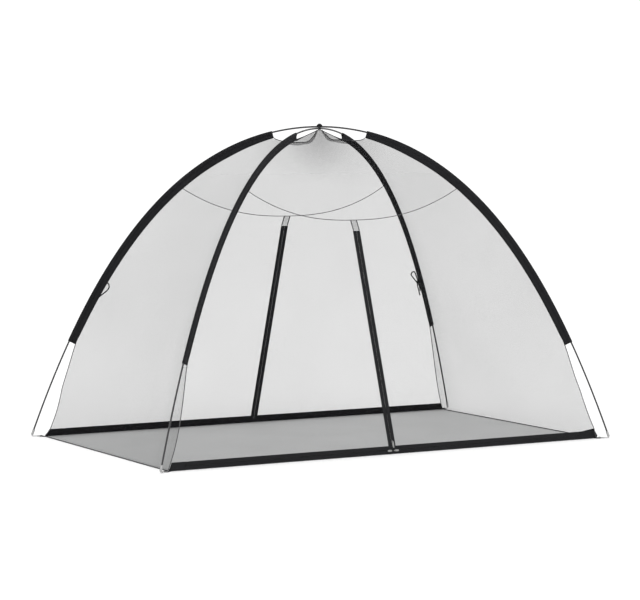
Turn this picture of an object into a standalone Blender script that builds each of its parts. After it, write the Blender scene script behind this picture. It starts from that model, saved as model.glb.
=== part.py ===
"""A mosquito net tent: two crossed arch poles over a rectangular floor, with a zipped door in each long side.

X runs along the two long sides, the front faces -Y, and +Z is up. The origin is on the ground at the middle of
the floor. Everything is in metres.
"""
import math

import bmesh
import bpy
import numpy as np
from mathutils import Matrix, Vector

# Overall sizes
FLOOR_LENGTH = 2.0
FLOOR_WIDTH = 1.2
ARCH_HEIGHT = 1.305  # the poles' crossing
FOOT_OUTSET = 0.0545  # from a floor corner out to the pole's foot, along the diagonal
ARCH_SQUARE_SHARE = 0.68  # of the arch's fall that grows with the square, the rest with the fourth power
GAP = 0.0003  # between pieces that touch
CLEARANCE = 0.0006  # round a piece that slides in another

# Poles
POLE_DIAMETER = 0.007
POLE_BORE = 0.004
POLE_SECTIONS = 7
SECTION_STEPS = 5
FERRULE_DIAMETER = 0.0094
FERRULE_LENGTH = 0.055
SHOCK_CORD_DIAMETER = 0.0024
TIP_DIAMETER = 0.0104
TIP_LENGTH = 0.024
TIP_FLOOR = 0.003
TIP_HEIGHT = 0.0075  # the middle of the tip's lower end over the ground

# Sleeves round the poles and the bound ridges under them
SLEEVE_WIDTH = 0.033
SLEEVE_CLOTH = 0.0008
SLEEVE_TOP_RADIUS = 0.198
SLEEVE_FOOT_INSET = 0.109  # along the diagonal, from a floor corner in to the sleeve's lower end
SLEEVE_ROUND_STEPS = 4
SLEEVE_LAP = 0.001  # of a sleeve's legs into the bound ridge
BINDING_DIAMETER = 0.003
RIDGE_END_RISE = 0.0055
RIDGE_END_INSET = 0.005
CROWN_CAP_RADIUS = 0.010
CROWN_CAP_HEIGHT = 0.0025
PEAK_DROP = 0.0105  # from the crossing down to the canopy's peak
CROWN_DIP_DROP = 0.0665  # from the crossing down to the slack edges round the peak
CROWN_DIP_RADII = (0.050, 0.105, 0.158)
CROWN_LIFT = 0.009  # of the upper sleeves' ridges where they leave the sleeves
CROWN_LIFT_REACH = 0.18  # along which it fades under a sleeve
RIDGE_FOOT_SHARES = ((0.27, 0.68), (0.57, 0.335), (0.87, 0.08))  # outward and upward, under a sleeve

# Net panels
NET = 0.001
EDGE_INSET = 0.0023  # from a binding's middle to the panel's edge
ROOF_INSET = 0.0035  # the same on the roof, whose rows meet the ridges aslant
PANEL_TOP_RADIUS = 0.018
SEAM_RADIUS = 0.575  # along the diagonal to the end of a roof seam
SEAM_SIDE = 0.2806  # the seam's middle, from the tent's middle
SEAM_DROP = 0.3784  # from the crossing down to the seam's middle
SEAM_POWER = 2.4
ROOF_TOP_DROP = 0.080  # the roof's middle at the crown, without its pulled-up peak
ROOF_EVEN_SHARE = 0.45
END_SAG_SHARE = 0.2
END_SAG_POWER = 2.2
SIDE_POWER = 1.6  # how steadily a door's side panel curves towards its ridge
PANEL_COLUMNS = 12
SIDE_COLUMNS = PANEL_COLUMNS // 2

# Doors
ZIP_TOP_OUTSET = 0.0241  # from the roof seam's middle out to the zip's top
ZIP_TOP_DROP = 0.0422  # and down to it
BAND_WIDTH = 0.033
TAPE = 0.0012
TAPE_GAP = 0.001  # between the two halves of a zip
FOLD_GAP = 0.0011  # from a flap's fold line to the net beside it
DOOR_CORNER_INSET = 0.075  # from a floor corner to the end of the hem zip
HEM_END_INSET = 0.021  # from a floor corner to the band's upper corner
HEM_FOOT_INSET = 0.0135  # and to its lower corner
HEM_RISE = 0.0004

# Floor and its corners
FLOOR_CLOTH = 0.001
CORNER_CUT = 0.009
SIDE_BINDING_WIDTH = 0.005
SIDE_BINDING_HEIGHT = 0.004
TAB_WIDTH = 0.012
TAB_CLOTH = 0.001
RING_DIAMETER = 0.022
TAB_REACH = 0.0041  # from the ring's middle back to the tab's fold
PIN_WIRE = 0.003
PIN_IN_TIP = 0.016
PIN_BEND = 0.003

# Zip sliders and their pulls
SLIDER_LENGTH = 0.011
SLIDER_WIDTH = 0.004
SLIDER_BODY = 0.0018
EYE_LENGTH = 0.0026
EYE_HEIGHT = 0.0022
EYE_WALL = 0.0009
PULL_CLOTH = 0.0012
PULL_BAR = 0.0013
PULL_ARM = 0.0012
PULL_WINDOW = 0.0034  # from the pivot to the window's far end
DOOR_PULL_LENGTH = 0.024
HEM_PULL_LENGTH = 0.0165
DOOR_SLIDER_HEIGHT = 0.048
HEM_SLIDER_OFFSET = 0.0098
HEM_SLIDER_DROP = 0.0037  # under the hem zip's middle

# Tie at the crossing and tie-backs
TIE_CORD = 0.0024
TIE_KNOT = 0.013
TIE_BACK_HEIGHT = 0.657
TIE_BACK_LENGTH = 0.060
TIE_BACK_WIDTH = 0.016
TIE_BACK_CORD = 0.0036

# How finely round pieces are cut, and shares of the sizes that they follow
TIP_STEPS = 8
RING_STEPS = 10
PIN_BEND_STEPS = 4
ARCH_SAMPLES = 2001
RING_START = math.radians(25)
RING_END = math.radians(346)
RING_NECK = 0.005
TAB_STEPS = 4
CAP_STEPS = 10
TIE_STEPS = 12
KNOT_STEPS = 8
SEAM_END_SHARE = 0.05
TIE_SQUARE_SHARE = 1.6  # how square the tie's loop is
TAB_LAP = 0.020  # from the floor's cut corner to the ring
FERRULE_STEP = 0.0012
NET_TOP_DROP = 0.0012
PEAK_SPREAD_SHARE = 0.3
SIDE_TOP_SHARE = 0.35  # from the seam to the row at the zip's top, of the first step down a ridge
PULL_SHOULDER_SHARE = 0.45
PULL_END_SHARE = 0.7
WELD = 0.00001
DOOR_NAMES = {-1: "front", 1: "back"}

HALF_LENGTH = FLOOR_LENGTH / 2
HALF_WIDTH = FLOOR_WIDTH / 2
CORNER_RADIUS = math.hypot(HALF_LENGTH, HALF_WIDTH)
FOOT_RADIUS = CORNER_RADIUS + FOOT_OUTSET
DIAGONAL = Vector((HALF_LENGTH / CORNER_RADIUS, HALF_WIDTH / CORNER_RADIUS, 0))
PEAK_HEIGHT = ARCH_HEIGHT - PEAK_DROP
SEAM_HEIGHT = ARCH_HEIGHT - SEAM_DROP
SLEEVE_FOOT_RADIUS = CORNER_RADIUS - SLEEVE_FOOT_INSET
TIP_BORE = POLE_DIAMETER + 2 * CLEARANCE
CORNERS = {"front_left": (-1, -1), "front_right": (1, -1), "back_left": (-1, 1), "back_right": (1, 1)}

COLOURS = {
    "net": ((0.80, 0.80, 0.79), 0.8, 0.0),
    "floor": ((0.55, 0.56, 0.56), 0.7, 0.0),
    "black_cloth": ((0.03, 0.03, 0.035), 0.75, 0.0),
    "binding": ((0.30, 0.30, 0.31), 0.8, 0.0),
    "zip_tape": ((0.035, 0.035, 0.04), 0.7, 0.0),
    "patch": ((0.42, 0.42, 0.43), 0.7, 0.0),
    "fibreglass": ((0.025, 0.025, 0.03), 0.35, 0.0),
    "steel": ((0.62, 0.62, 0.61), 0.3, 1.0),
    "grey_metal": ((0.5, 0.5, 0.5), 0.4, 1.0),
    "elastic": ((0.75, 0.75, 0.74), 0.8, 0.0),
    "webbing": ((0.05, 0.05, 0.055), 0.8, 0.0),
}


def material(name):
    """The named material, made once."""
    found = bpy.data.materials.get(name)
    if found:
        return found
    colour, roughness, metallic = COLOURS[name]
    made = bpy.data.materials.new(name)
    made.use_nodes = True
    shader = made.node_tree.nodes["Principled BSDF"]
    shader.inputs["Base Color"].default_value = (*colour, 1)
    shader.inputs["Roughness"].default_value = roughness
    shader.inputs["Metallic"].default_value = metallic
    return made


def add(name, data, finish, matrix=None, pivot=None):
    """An object for one sub-part, under the empty on its joint's axis if it moves."""
    obj = bpy.data.objects.new(name, data)
    obj.data.materials.append(material(finish))
    bpy.data.collections["mosquito_net_tent"].objects.link(obj)
    if matrix:
        obj.matrix_world = matrix
    if pivot:
        obj.parent = pivot
        obj.matrix_parent_inverse = pivot.matrix_world.inverted()
    return obj


def solidify(obj, thickness):
    """Gives an open surface its thickness, half to each side."""
    shell = obj.modifiers.new("thickness", "SOLIDIFY")
    shell.thickness = thickness
    shell.offset = 0
    return obj


def smooth(obj, angle=40):
    """Shades a mesh smooth except at its edges."""
    obj.data.shade_smooth()
    obj.data.set_sharp_from_angle(angle=math.radians(angle))


def sheet(name, columns, rows, place, thickness, finish, pivot=None):
    """A cloth panel: a grid whose points go where place(u, t) says, u from -1 to 1 and t from 0 to 1."""
    mesh = bpy.data.meshes.new(name)
    grid = bmesh.new()
    bmesh.ops.create_grid(grid, x_segments=columns, y_segments=rows, size=1)
    for vert in grid.verts:
        vert.co = place(vert.co.x, (vert.co.y + 1) / 2)
    grid.to_mesh(mesh)
    grid.free()
    obj = add(name, mesh, finish, pivot=pivot)
    smooth(obj)
    return solidify(obj, thickness)


def tube(name, route, radius, finish, sides=8, closed=False, wall=None, widths=None):
    """A round wire or cord along a route, or a hollow tube where wall is given. widths are shares of radius."""
    curve = bpy.data.curves.new(name, "CURVE")
    curve.dimensions = "3D"
    curve.bevel_depth = radius - (wall / 2 if wall else 0)
    curve.bevel_resolution = sides // 2 - 2
    curve.use_fill_caps = not wall
    spline = curve.splines.new("POLY")
    spline.points.add(len(route) - 1)
    for point, place, width in zip(spline.points, route, widths or [1] * len(route)):
        point.co = (*place, 1)
        point.radius = width
    spline.use_cyclic_u = closed
    spline.use_smooth = True
    obj = add(name, curve, finish)
    return solidify(obj, wall) if wall else obj


def plate(name, outlines, thickness, finish, matrix, pivot=None):
    """A flat piece with the given outlines, an inner one being a hole, in the XY plane of matrix."""
    curve = bpy.data.curves.new(name, "CURVE")
    curve.dimensions = "2D"
    curve.fill_mode = "BOTH"
    curve.extrude = thickness / 2
    for outline in outlines:
        spline = curve.splines.new("POLY")
        spline.points.add(len(outline) - 1)
        for point, (x, y) in zip(spline.points, outline):
            point.co = (x, y, 0, 1)
        spline.use_cyclic_u = True
    return add(name, curve, finish, matrix, pivot)


def block(name, low, high, finish):
    """A box between two corners."""
    low, high = Vector(low), Vector(high)
    mesh = bpy.data.meshes.new(name)
    box = bmesh.new()
    bmesh.ops.create_cube(box, size=1)
    for vert in box.verts:
        vert.co = Vector(a * b for a, b in zip(vert.co, high - low)) + (low + high) / 2
    box.to_mesh(mesh)
    box.free()
    return add(name, mesh, finish)


def as_mesh(obj):
    """A curve object's evaluated mesh as an object of its own, its caps welded."""
    view = bpy.context.evaluated_depsgraph_get()
    mesh = bpy.data.meshes.new_from_object(obj.evaluated_get(view))
    welded = bmesh.new()
    welded.from_mesh(mesh)
    bmesh.ops.remove_doubles(welded, verts=welded.verts, dist=WELD)
    welded.to_mesh(mesh)
    welded.free()
    made = bpy.data.objects.new(obj.name, mesh)
    made.matrix_world = obj.matrix_world
    bpy.data.collections["mosquito_net_tent"].objects.link(made)
    bpy.data.objects.remove(obj)
    return made


def sew(obj, other):
    """Joins another solid to an object, and leaves it as a hidden guide."""
    for collection in other.users_collection:
        collection.objects.unlink(other)
    bpy.data.collections["guides"].objects.link(other)
    other.hide_render = True
    other.display_type = "WIRE"
    union = obj.modifiers.new("sewn", "BOOLEAN")
    union.operation = "UNION"
    union.object = other


def empty(name, place):
    """An empty on a joint's axis."""
    obj = bpy.data.objects.new(name, None)
    bpy.data.collections["mosquito_net_tent"].objects.link(obj)
    obj.matrix_world = Matrix.Translation(place)
    return obj


def frame(origin, x_axis, y_axis):
    """The matrix of a plane from its origin and two axes."""
    x_axis, y_axis = Vector(x_axis).normalized(), Vector(y_axis).normalized()
    z_axis = x_axis.cross(y_axis)
    turned = Matrix((x_axis, y_axis, z_axis)).transposed().to_4x4()
    return Matrix.Translation(origin) @ turned


def diagonal_point(corner, radius, height):
    """A point in the upright plane through a corner, from its distance out and its height."""
    return Vector((corner[0] * DIAGONAL.x * radius, corner[1] * DIAGONAL.y * radius, height))


def mix(a, b, share):
    """The point that lies the given share of the way from a to b."""
    return a + (b - a) * share


# The arches, each a line of points in its upright plane


def arch_height(radius, crossing):
    share = radius / FOOT_RADIUS
    return crossing * (1 - ARCH_SQUARE_SHARE * share**2 - (1 - ARCH_SQUARE_SHARE) * share**4)


def arch_line(crossing):
    """Radius, height and length along the pole at the ends of its straight steps, from foot to foot."""
    radii = np.linspace(-FOOT_RADIUS, FOOT_RADIUS, ARCH_SAMPLES)
    heights = arch_height(radii, crossing)
    lengths = np.concatenate([[0], np.cumsum(np.hypot(np.diff(radii), np.diff(heights)))])
    stops = np.linspace(0, lengths[-1], POLE_SECTIONS * SECTION_STEPS + 1)
    return np.interp(stops, lengths, radii), np.interp(stops, lengths, heights), stops


class Arch:
    """One pole's line through two opposite corners; side is the corner at its positive end."""

    def __init__(self, side, crossing):
        self.side = side
        self.radii, self.heights, self.stops = arch_line(crossing)
        self.length = self.stops[-1]

    def at(self, length):
        """Radius and height at a length along the pole."""
        return np.interp(length, self.stops, self.radii), np.interp(length, self.stops, self.heights)

    def point(self, length):
        return diagonal_point(self.side, *self.at(length))

    def route(self, start, end):
        """The points from one length to another, with every bend between."""
        inner = [s for s in self.stops if start + GAP < s < end - GAP]
        return [self.point(s) for s in (start, *inner, end)]

    def length_at(self, radius):
        return float(np.interp(radius, self.radii, self.stops))


def half_arch(arch, sign):
    """Radius and height along one half of an arch, from the crossing to the foot."""
    lengths = [s for s in arch.stops if sign * (s - arch.length / 2) > 0]
    lengths = sorted(lengths, key=lambda s: abs(s - arch.length / 2))
    return [(abs(arch.at(s)[0]), arch.at(s)[1]) for s in lengths]


def sleeve_stations(arch):
    """The sleeve's middle line on the pole, with the outward normal at each point, in radius and height."""
    line = half_arch(arch, 1)
    radii = [p[0] for p in line]
    heights = [p[1] for p in line]
    inner = [p for p in line if SLEEVE_TOP_RADIUS < p[0] < SLEEVE_FOOT_RADIUS]
    ends = [(r, float(np.interp(r, radii, heights))) for r in (SLEEVE_TOP_RADIUS, SLEEVE_FOOT_RADIUS)]
    path = [ends[0], *inner, ends[1]]
    stations = []
    for k, (r, z) in enumerate(path):
        before = path[max(k - 1, 0)]
        after = path[min(k + 1, len(path) - 1)]
        run = Vector((after[0] - before[0], after[1] - before[1])).normalized()
        stations.append((r, z, -run.y, run.x))
    return stations


def ridge_line(arch):
    """The middle of the bound ridge under an arch, from the crown to a floor corner, in radius and height."""
    round_radius = FERRULE_DIAMETER / 2 + CLEARANCE + SLEEVE_CLOTH
    depth = SLEEVE_WIDTH - round_radius + GAP + BINDING_DIAMETER / 2
    dip = arch.heights.max() - CROWN_DIP_DROP
    line = [(CROWN_CAP_RADIUS + GAP + BINDING_DIAMETER / 2, PEAK_HEIGHT)]
    line += [(radius, dip) for radius in CROWN_DIP_RADII]
    sleeve = [(r - out_r * depth, z - out_z * depth) for r, z, out_r, out_z in sleeve_stations(arch)]
    line += sleeve
    foot = sleeve[-1]
    end = (CORNER_RADIUS - RIDGE_END_INSET, RIDGE_END_RISE)
    for out_share, up_share in RIDGE_FOOT_SHARES:
        line.append((mix(foot[0], end[0], out_share), mix(end[1], foot[1], up_share)))
    line.append(end)
    return line


def inset(run, ridge_run, edge=EDGE_INSET):
    """How far a row stops short of a ridge's middle, measured along the row."""
    lean = run.normalized().dot(ridge_run.normalized())
    return edge / math.sqrt(1 - lean**2)


def is_taut(corner):
    """Whether a corner's ridge lies under the lower pole."""
    return corner[0] == corner[1]


class Ridge:
    """A bound ridge that can be read by length along it."""

    def __init__(self, arch):
        self.line = ridge_line(arch)
        self.radii = np.array([p[0] for p in self.line])
        self.heights = np.array([p[1] for p in self.line])
        steps = np.hypot(np.diff(self.radii), np.diff(self.heights))
        self.stops = np.concatenate([[0], np.cumsum(steps)])
        self.length = self.stops[-1]
        sleeve = len(CROWN_DIP_RADII) + 1
        self.taut = (self.radii[0], self.radii[sleeve]), (self.heights[0], self.heights[sleeve])

    def at(self, length):
        return float(np.interp(length, self.stops, self.radii)), float(np.interp(length, self.stops, self.heights))

    def point(self, corner, length):
        """A point on one corner's ridge, which is taut from the peak to the sleeve under the lower pole."""
        r, z = self.at(length)
        if is_taut(corner):
            return diagonal_point(corner, r, max(z, float(np.interp(r, *self.taut, right=0))))
        return diagonal_point(corner, r, z + self.lift(r))

    def lift(self, radius):
        """How much higher a ridge under the upper pole lies near the crown."""
        start, end = self.taut[0]
        stops = (start, CROWN_DIP_RADII[0], end, end + CROWN_LIFT_REACH)
        return float(np.interp(radius, stops, (0, CROWN_LIFT, CROWN_LIFT, 0)))

    def at_radius(self, radius):
        return float(np.interp(radius, self.radii, self.stops))

    def at_height(self, height):
        return float(np.interp(-height, -self.heights, self.stops))

    def rows(self, start, end):
        """The lengths of a panel's rows, one at each bend of the ridge between start and end."""
        return [start, *[float(s) for s in self.stops if start + EDGE_INSET < s < end - EDGE_INSET], end]

    def run(self, corner, length):
        """The way the ridge goes at a length along it."""
        step = EDGE_INSET
        below, above = min(length + step, self.length), max(length - step, 0)
        return self.point(corner, below) - self.point(corner, above)


# Poles, sleeves and ridges


def make_pole(name, arch):
    """One pole with the ferrules that join its sections, and the cord that runs through them."""
    section = arch.length / POLE_SECTIONS
    foot_cut = TIP_HEIGHT + TIP_FLOOR + CLEARANCE
    half = FERRULE_LENGTH / 2
    wide = FERRULE_DIAMETER / POLE_DIAMETER
    route, widths = [arch.point(foot_cut)], [1]
    for k in range(POLE_SECTIONS):
        start, end = section * k, section * (k + 1)
        inner = [s for s in arch.stops if start + GAP < s < end - GAP]
        route += [arch.point(s) for s in inner]
        widths += [1] * len(inner)
        if k < POLE_SECTIONS - 1:
            steps = (end - half - FERRULE_STEP, end - half, end, end + half, end + half + FERRULE_STEP)
            route += [arch.point(s) for s in steps]
            widths += [1, wide, wide, wide, 1]
    route.append(arch.point(arch.length - foot_cut))
    widths.append(1)
    wall = (POLE_DIAMETER - POLE_BORE) / 2
    tube(name, route, POLE_DIAMETER / 2, "fibreglass", sides=6, wall=wall, widths=widths)
    end = foot_cut + PIN_IN_TIP
    tube(f"{name}_shock_cord", arch.route(end, arch.length - end), SHOCK_CORD_DIAMETER / 2, "elastic", sides=4)


def make_sleeve(name, corner, arch):
    """A folded strip round the pole, its two legs closing on the bound ridge."""
    bend = FERRULE_DIAMETER / 2 + CLEARANCE + SLEEVE_CLOTH / 2
    foot = -(SLEEVE_WIDTH - bend - SLEEVE_CLOTH / 2 + SLEEVE_LAP)
    leg = SLEEVE_CLOTH / 2 + GAP
    turns = [math.pi * k / SLEEVE_ROUND_STEPS for k in range(SLEEVE_ROUND_STEPS + 1)]
    section = [(-leg, foot), *[(-bend * math.cos(a), bend * math.sin(a)) for a in turns], (leg, foot)]
    stations, shared = sleeve_stations(arch), sleeve_stations(MEAN_ARCH)
    across = Vector((-corner[1] * DIAGONAL.y, corner[0] * DIAGONAL.x, 0))

    def place(u, t):
        side, out = section[round((u + 1) / 2 * (len(section) - 1))]
        along = shared if out == foot else stations
        r, z, out_r, out_z = along[round(t * (len(along) - 1))]
        spot = diagonal_point(corner, r + out_r * out, z + out_z * out) + across * side
        if out == foot and not is_taut(corner):
            spot.z += RIDGE.lift(r + out_r * out)
        return spot

    return sheet(name, len(section) - 1, len(stations) - 1, place, SLEEVE_CLOTH, "black_cloth")


def foot_axis(corner, arch):
    """The pole's end in its upright plane: the point on the ground and the way up the pole."""
    base = arch.point(arch.length if corner[0] == arch.side[0] else 0)
    other = arch.point(arch.length - TIP_LENGTH if corner[0] == arch.side[0] else TIP_LENGTH)
    return base, (other - base).normalized()


def make_tip(name, corner, arch):
    """A tip: a turned cup over the pole's end, with a hole in its floor for the pin."""
    base, up = foot_axis(corner, arch)
    bore, hole, outer = TIP_BORE / 2, PIN_WIRE / 2 + CLEARANCE, TIP_DIAMETER / 2
    profile = [(hole, 0), (hole, TIP_FLOOR), (bore, TIP_FLOOR), (bore, TIP_LENGTH), (outer, TIP_LENGTH), (outer, 0)]
    mesh = bpy.data.meshes.new(name)
    ring = bmesh.new()
    verts = [ring.verts.new((x, 0, z)) for x, z in profile]
    edges = [ring.edges.new((a, b)) for a, b in zip(verts, verts[1:] + verts[:1])]
    bmesh.ops.spin(
        ring, geom=verts + edges, axis=(0, 0, 1), cent=(0, 0, 0), angle=2 * math.pi, steps=TIP_STEPS, use_merge=True
    )
    bmesh.ops.recalc_face_normals(ring, faces=ring.faces)
    ring.to_mesh(mesh)
    ring.free()
    turned = up.to_track_quat("Z", "Y").to_matrix().to_4x4()
    add(name, mesh, "steel", Matrix.Translation(base + up * TIP_HEIGHT) @ turned)


def ring_radius():
    """How far out along the diagonal the middle of a pin's ring lies."""
    return CORNER_RADIUS - CORNER_CUT + GAP + TAB_LAP + RING_DIAMETER / 2


def ring_height():
    return TAB_CLOTH + GAP + PIN_WIRE / 2


def make_pin(name, corner, arch):
    """A wire pin: in the tip, round its bend, along the ground, and bent into a ring at the floor's corner."""
    base, up = foot_axis(corner, arch)
    inward = -diagonal_point(corner, 1, 0)
    across = Vector((0, 0, 1)).cross(inward)
    knee = base + up * (ring_height() / up.z)
    turn = math.acos(up.dot(inward))
    run_in = PIN_BEND * math.tan((math.pi - turn) / 2)
    start, end = knee + up * run_in, knee + inward * run_in
    bend = [mix(mix(start, knee, s), mix(knee, end, s), s) for s in np.linspace(0, 1, PIN_BEND_STEPS + 1)]
    radius = (RING_DIAMETER - PIN_WIRE) / 2
    middle = diagonal_point(corner, ring_radius(), ring_height())
    turns = [mix(RING_START, RING_END, k / RING_STEPS) for k in range(RING_STEPS + 1)]
    ring = [middle - inward * (radius * math.cos(a)) + across * (radius * math.sin(a)) for a in turns]
    neck = middle - inward * (radius + RING_NECK)
    route = [base + up * (TIP_HEIGHT + TIP_FLOOR + PIN_IN_TIP), *bend, neck, *ring]
    tube(name, route, PIN_WIRE / 2, "steel", sides=6)


def make_tab(name, corner):
    """A webbing tab folded round the ring, butted on the floor's cut corner."""
    inner = CORNER_RADIUS - CORNER_CUT + GAP
    fold = ring_radius() - TAB_REACH
    half = TAB_CLOTH / 2
    bend = (PIN_WIRE + 2 * GAP + TAB_CLOTH) / 2
    turns = [math.pi * (k / TAB_STEPS - 1 / 2) for k in range(TAB_STEPS + 1)]
    section = [(inner, half)]
    section += [(fold - bend + bend * math.cos(a), half + bend + bend * math.sin(a)) for a in turns]
    clear = ring_radius() - RING_DIAMETER / 2 - TAB_CLOTH
    section += [(clear, half + 2 * bend), (inner, half + TAB_CLOTH + GAP)]
    across = Vector((-corner[1] * DIAGONAL.y, corner[0] * DIAGONAL.x, 0))

    def place(u, t):
        r, z = section[round(t * (len(section) - 1))]
        return diagonal_point(corner, r, z) + across * (u * TAB_WIDTH / 2)

    sheet(name, 1, len(section) - 1, place, TAB_CLOTH, "webbing")


# Net panels


def seam_point(side, u):
    """A point on a roof seam, u from -1 at the left ridge to 1 at the right."""
    end = RIDGE.point((1, side), RIDGE.at_radius(SEAM_RADIUS))
    rise = abs(u) ** SEAM_POWER
    return Vector((u * end.x, mix(side * SEAM_SIDE, end.y, rise), mix(SEAM_HEIGHT, end.z, rise)))


def roof_middle(share):
    """Distance from the tent's middle and height of a roof panel's middle line; share is 1 at the seam."""
    top = ARCH_HEIGHT - ROOF_TOP_DROP
    fall = (top - SEAM_HEIGHT) * (ROOF_EVEN_SHARE * share + (1 - ROOF_EVEN_SHARE) * share**2)
    peak = max(0, 1 - share / PEAK_SPREAD_SHARE) ** 2 * (PEAK_HEIGHT - top)
    return SEAM_SIDE * share, top - fall + peak


def make_roof(name, side):
    """A roof panel, from the crown to its seam, hung between two ridges."""
    seam = RIDGE.at_radius(SEAM_RADIUS)
    rows = RIDGE.rows(RIDGE.at_radius(PANEL_TOP_RADIUS), seam)
    upward = (roof_spot(side, rows[-2] / seam) - roof_spot(side, 1)).normalized()

    def place(u, t):
        row = round(t * (len(rows) - 1))
        hand = 1 if u > 0 else -1
        end = RIDGE.point((hand, side), rows[row])
        middle = roof_spot(side, rows[row] / seam)
        rise = abs(u) ** SEAM_POWER
        spot = Vector((abs(u) * end.x, mix(middle.y, end.y, rise), mix(middle.z, end.z, rise)))
        run = end - middle
        short = inset(run, RIDGE.run((hand, side), rows[row]), ROOF_INSET)
        spot = mix(middle, spot, 1 - short / run.length)
        return spot + upward * EDGE_INSET if row == len(rows) - 1 else spot

    sheet(name, PANEL_COLUMNS, len(rows) - 1, place, NET, "net")


def roof_spot(side, share):
    """A point on a roof panel's middle line."""
    y, z = roof_middle(share)
    return Vector((0, side * y, z))


def make_end_wall(name, side):
    """A short end wall in one piece, from the crown to the floor."""
    rows = RIDGE.rows(RIDGE.at_radius(PANEL_TOP_RADIUS), RIDGE.length)
    step = RIDGE.length / len(rows)

    def place(u, t):
        length = rows[round(t * (len(rows) - 1))]
        hand = 1 if u > 0 else -1
        end, way = RIDGE.point((side, hand), length), RIDGE.run((side, hand), length)
        end.x, way.x = side * end.x, side * way.x
        level = RIDGE.at(length)[1]
        above, below = RIDGE.at(max(length - step, 0)), RIDGE.at(min(length + step, RIDGE.length))
        run = Vector(((below[0] - above[0]) * DIAGONAL.x, 0, below[1] - above[1])).normalized()
        sag = END_SAG_SHARE * abs(end.y) * level / ARCH_HEIGHT
        middle = Vector((end.x, 0, level)) + Vector((run.z, 0, -run.x)) * sag
        rise = abs(u) ** END_SAG_POWER
        spot = Vector((mix(middle.x, end.x, rise), abs(u) * end.y, mix(middle.z, end.z, rise)))
        run = end - middle
        spot = mix(middle, spot, 1 - inset(run, way) / run.length)
        return Vector((side * spot.x, spot.y, spot.z))

    sheet(name, PANEL_COLUMNS, len(rows) - 1, place, NET, "net")


class Door:
    """The flat plane of one long side's door, its zip lines and its fold lines. side is -1 in front, 1 behind."""

    def __init__(self, side):
        self.side = side
        self.foot = Vector((0, side * (HALF_WIDTH - TAPE), TAPE / 2))
        top = Vector((0, side * (SEAM_SIDE + ZIP_TOP_OUTSET), SEAM_HEIGHT - ZIP_TOP_DROP))
        self.up = (top - self.foot).normalized()
        self.top = (top - self.foot).length
        self.along = Vector((-side, 0, 0))
        self.out = self.along.cross(self.up)
        self.matrix = frame(self.foot, self.along, self.up)
        self.corner = HALF_LENGTH - DOOR_CORNER_INSET
        self.zip = BAND_WIDTH / 2

    def point(self, x, w, out=0):
        """A point from its place along the door, up it and out of it; x is positive to the viewer's right."""
        return self.foot + self.along * x + self.up * w + self.out * out

    def fold(self, hand):
        """The two ends of a flap's fold line: at the zip's top and at the hem zip's end."""
        return (hand * (BAND_WIDTH / 2 + GAP), self.top), (hand * self.corner, self.zip)

    def name(self, hand):
        """left for the -X flap and right for the +X flap."""
        return "right" if hand * self.along.x > 0 else "left"


def make_door_side(name, door, hand):
    """The fixed net between a flap's fold line and the ridge, from the seam down to the hem."""
    way = hand * door.along.x
    corner = (way, door.side)
    top, foot = (Vector(end) for end in door.fold(hand))
    run = (foot - top).normalized()
    off = Vector((-run.y, run.x)) * hand * FOLD_GAP
    lowest = foot + run * ((BAND_WIDTH - foot.y + 2 * GAP) / run.y)
    down = (door.point(0, door.top) - seam_point(door.side, 0)).normalized()
    first = RIDGE.at_radius(SEAM_RADIUS)
    rows = RIDGE.rows(first, RIDGE.at_height(door.point(*lowest).z))
    shares = [(row - rows[0]) / (rows[-1] - rows[0]) for row in rows[1:]]
    inner = [door.point(*(mix(top, lowest, share) + off)) for share in (0, *shares)]
    rows.insert(1, mix(rows[0], rows[1], SIDE_TOP_SHARE))

    def place(u, t):
        row = round(t * (len(rows) - 1))
        share = (u + 1) / 2
        end = RIDGE.point(corner, rows[row])
        seam_u = max(share, BAND_WIDTH / 2 / abs(seam_point(door.side, 1).x))
        start = inner[row - 1] if row else seam_point(door.side, 0)
        run = end - start
        reach = 1 - inset(run, RIDGE.run(corner, rows[row])) / run.length
        if row == 0:
            edge = Vector((way * EDGE_INSET, 0, 0)) if share == 0 else Vector()
            return mix(start, seam_point(door.side, seam_u * way), reach) + down * EDGE_INSET + edge
        across = Vector((run.x, 0, 0))
        return mix(start, start + across * share + (run - across) * share**SIDE_POWER, reach)

    sheet(name, SIDE_COLUMNS, len(rows) - 1, place, NET, "net")


def make_flap(door, hand, pivot):
    """A door flap: its net and the zip tapes on its two free edges, in the door's plane."""
    where = f"{DOOR_NAMES[door.side]}_flap_{door.name(hand)}"
    (top_x, top_w), (end_x, end_w) = door.fold(hand)
    half = BAND_WIDTH / 2
    tape_low = end_w + TAPE_GAP / 2
    slope = (end_x - top_x) / (end_w - top_w)
    net_low = BAND_WIDTH + GAP
    net_in = half + GAP

    def fold_x(w):
        return top_x + (w - top_w) * slope

    net = [(hand * net_in, net_low), (fold_x(net_low), net_low), (hand * net_in, top_w - net_in_drop(slope))]
    plate(f"{where}_net", [net], NET, "net", door.matrix, pivot)
    tape = [
        (hand * TAPE_GAP / 2, tape_low),
        (fold_x(tape_low), tape_low),
        (fold_x(BAND_WIDTH), BAND_WIDTH),
        (hand * half, BAND_WIDTH),
        (hand * half, top_w - GAP),
        (hand * TAPE_GAP / 2, top_w - GAP),
    ]
    plate(f"{where}_zip_tape", [tape], TAPE, "zip_tape", door.matrix, pivot)


def net_in_drop(slope):
    """How far under the zip's top the flap's net reaches its tape."""
    return NET_TOP_DROP + GAP / abs(slope)


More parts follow.
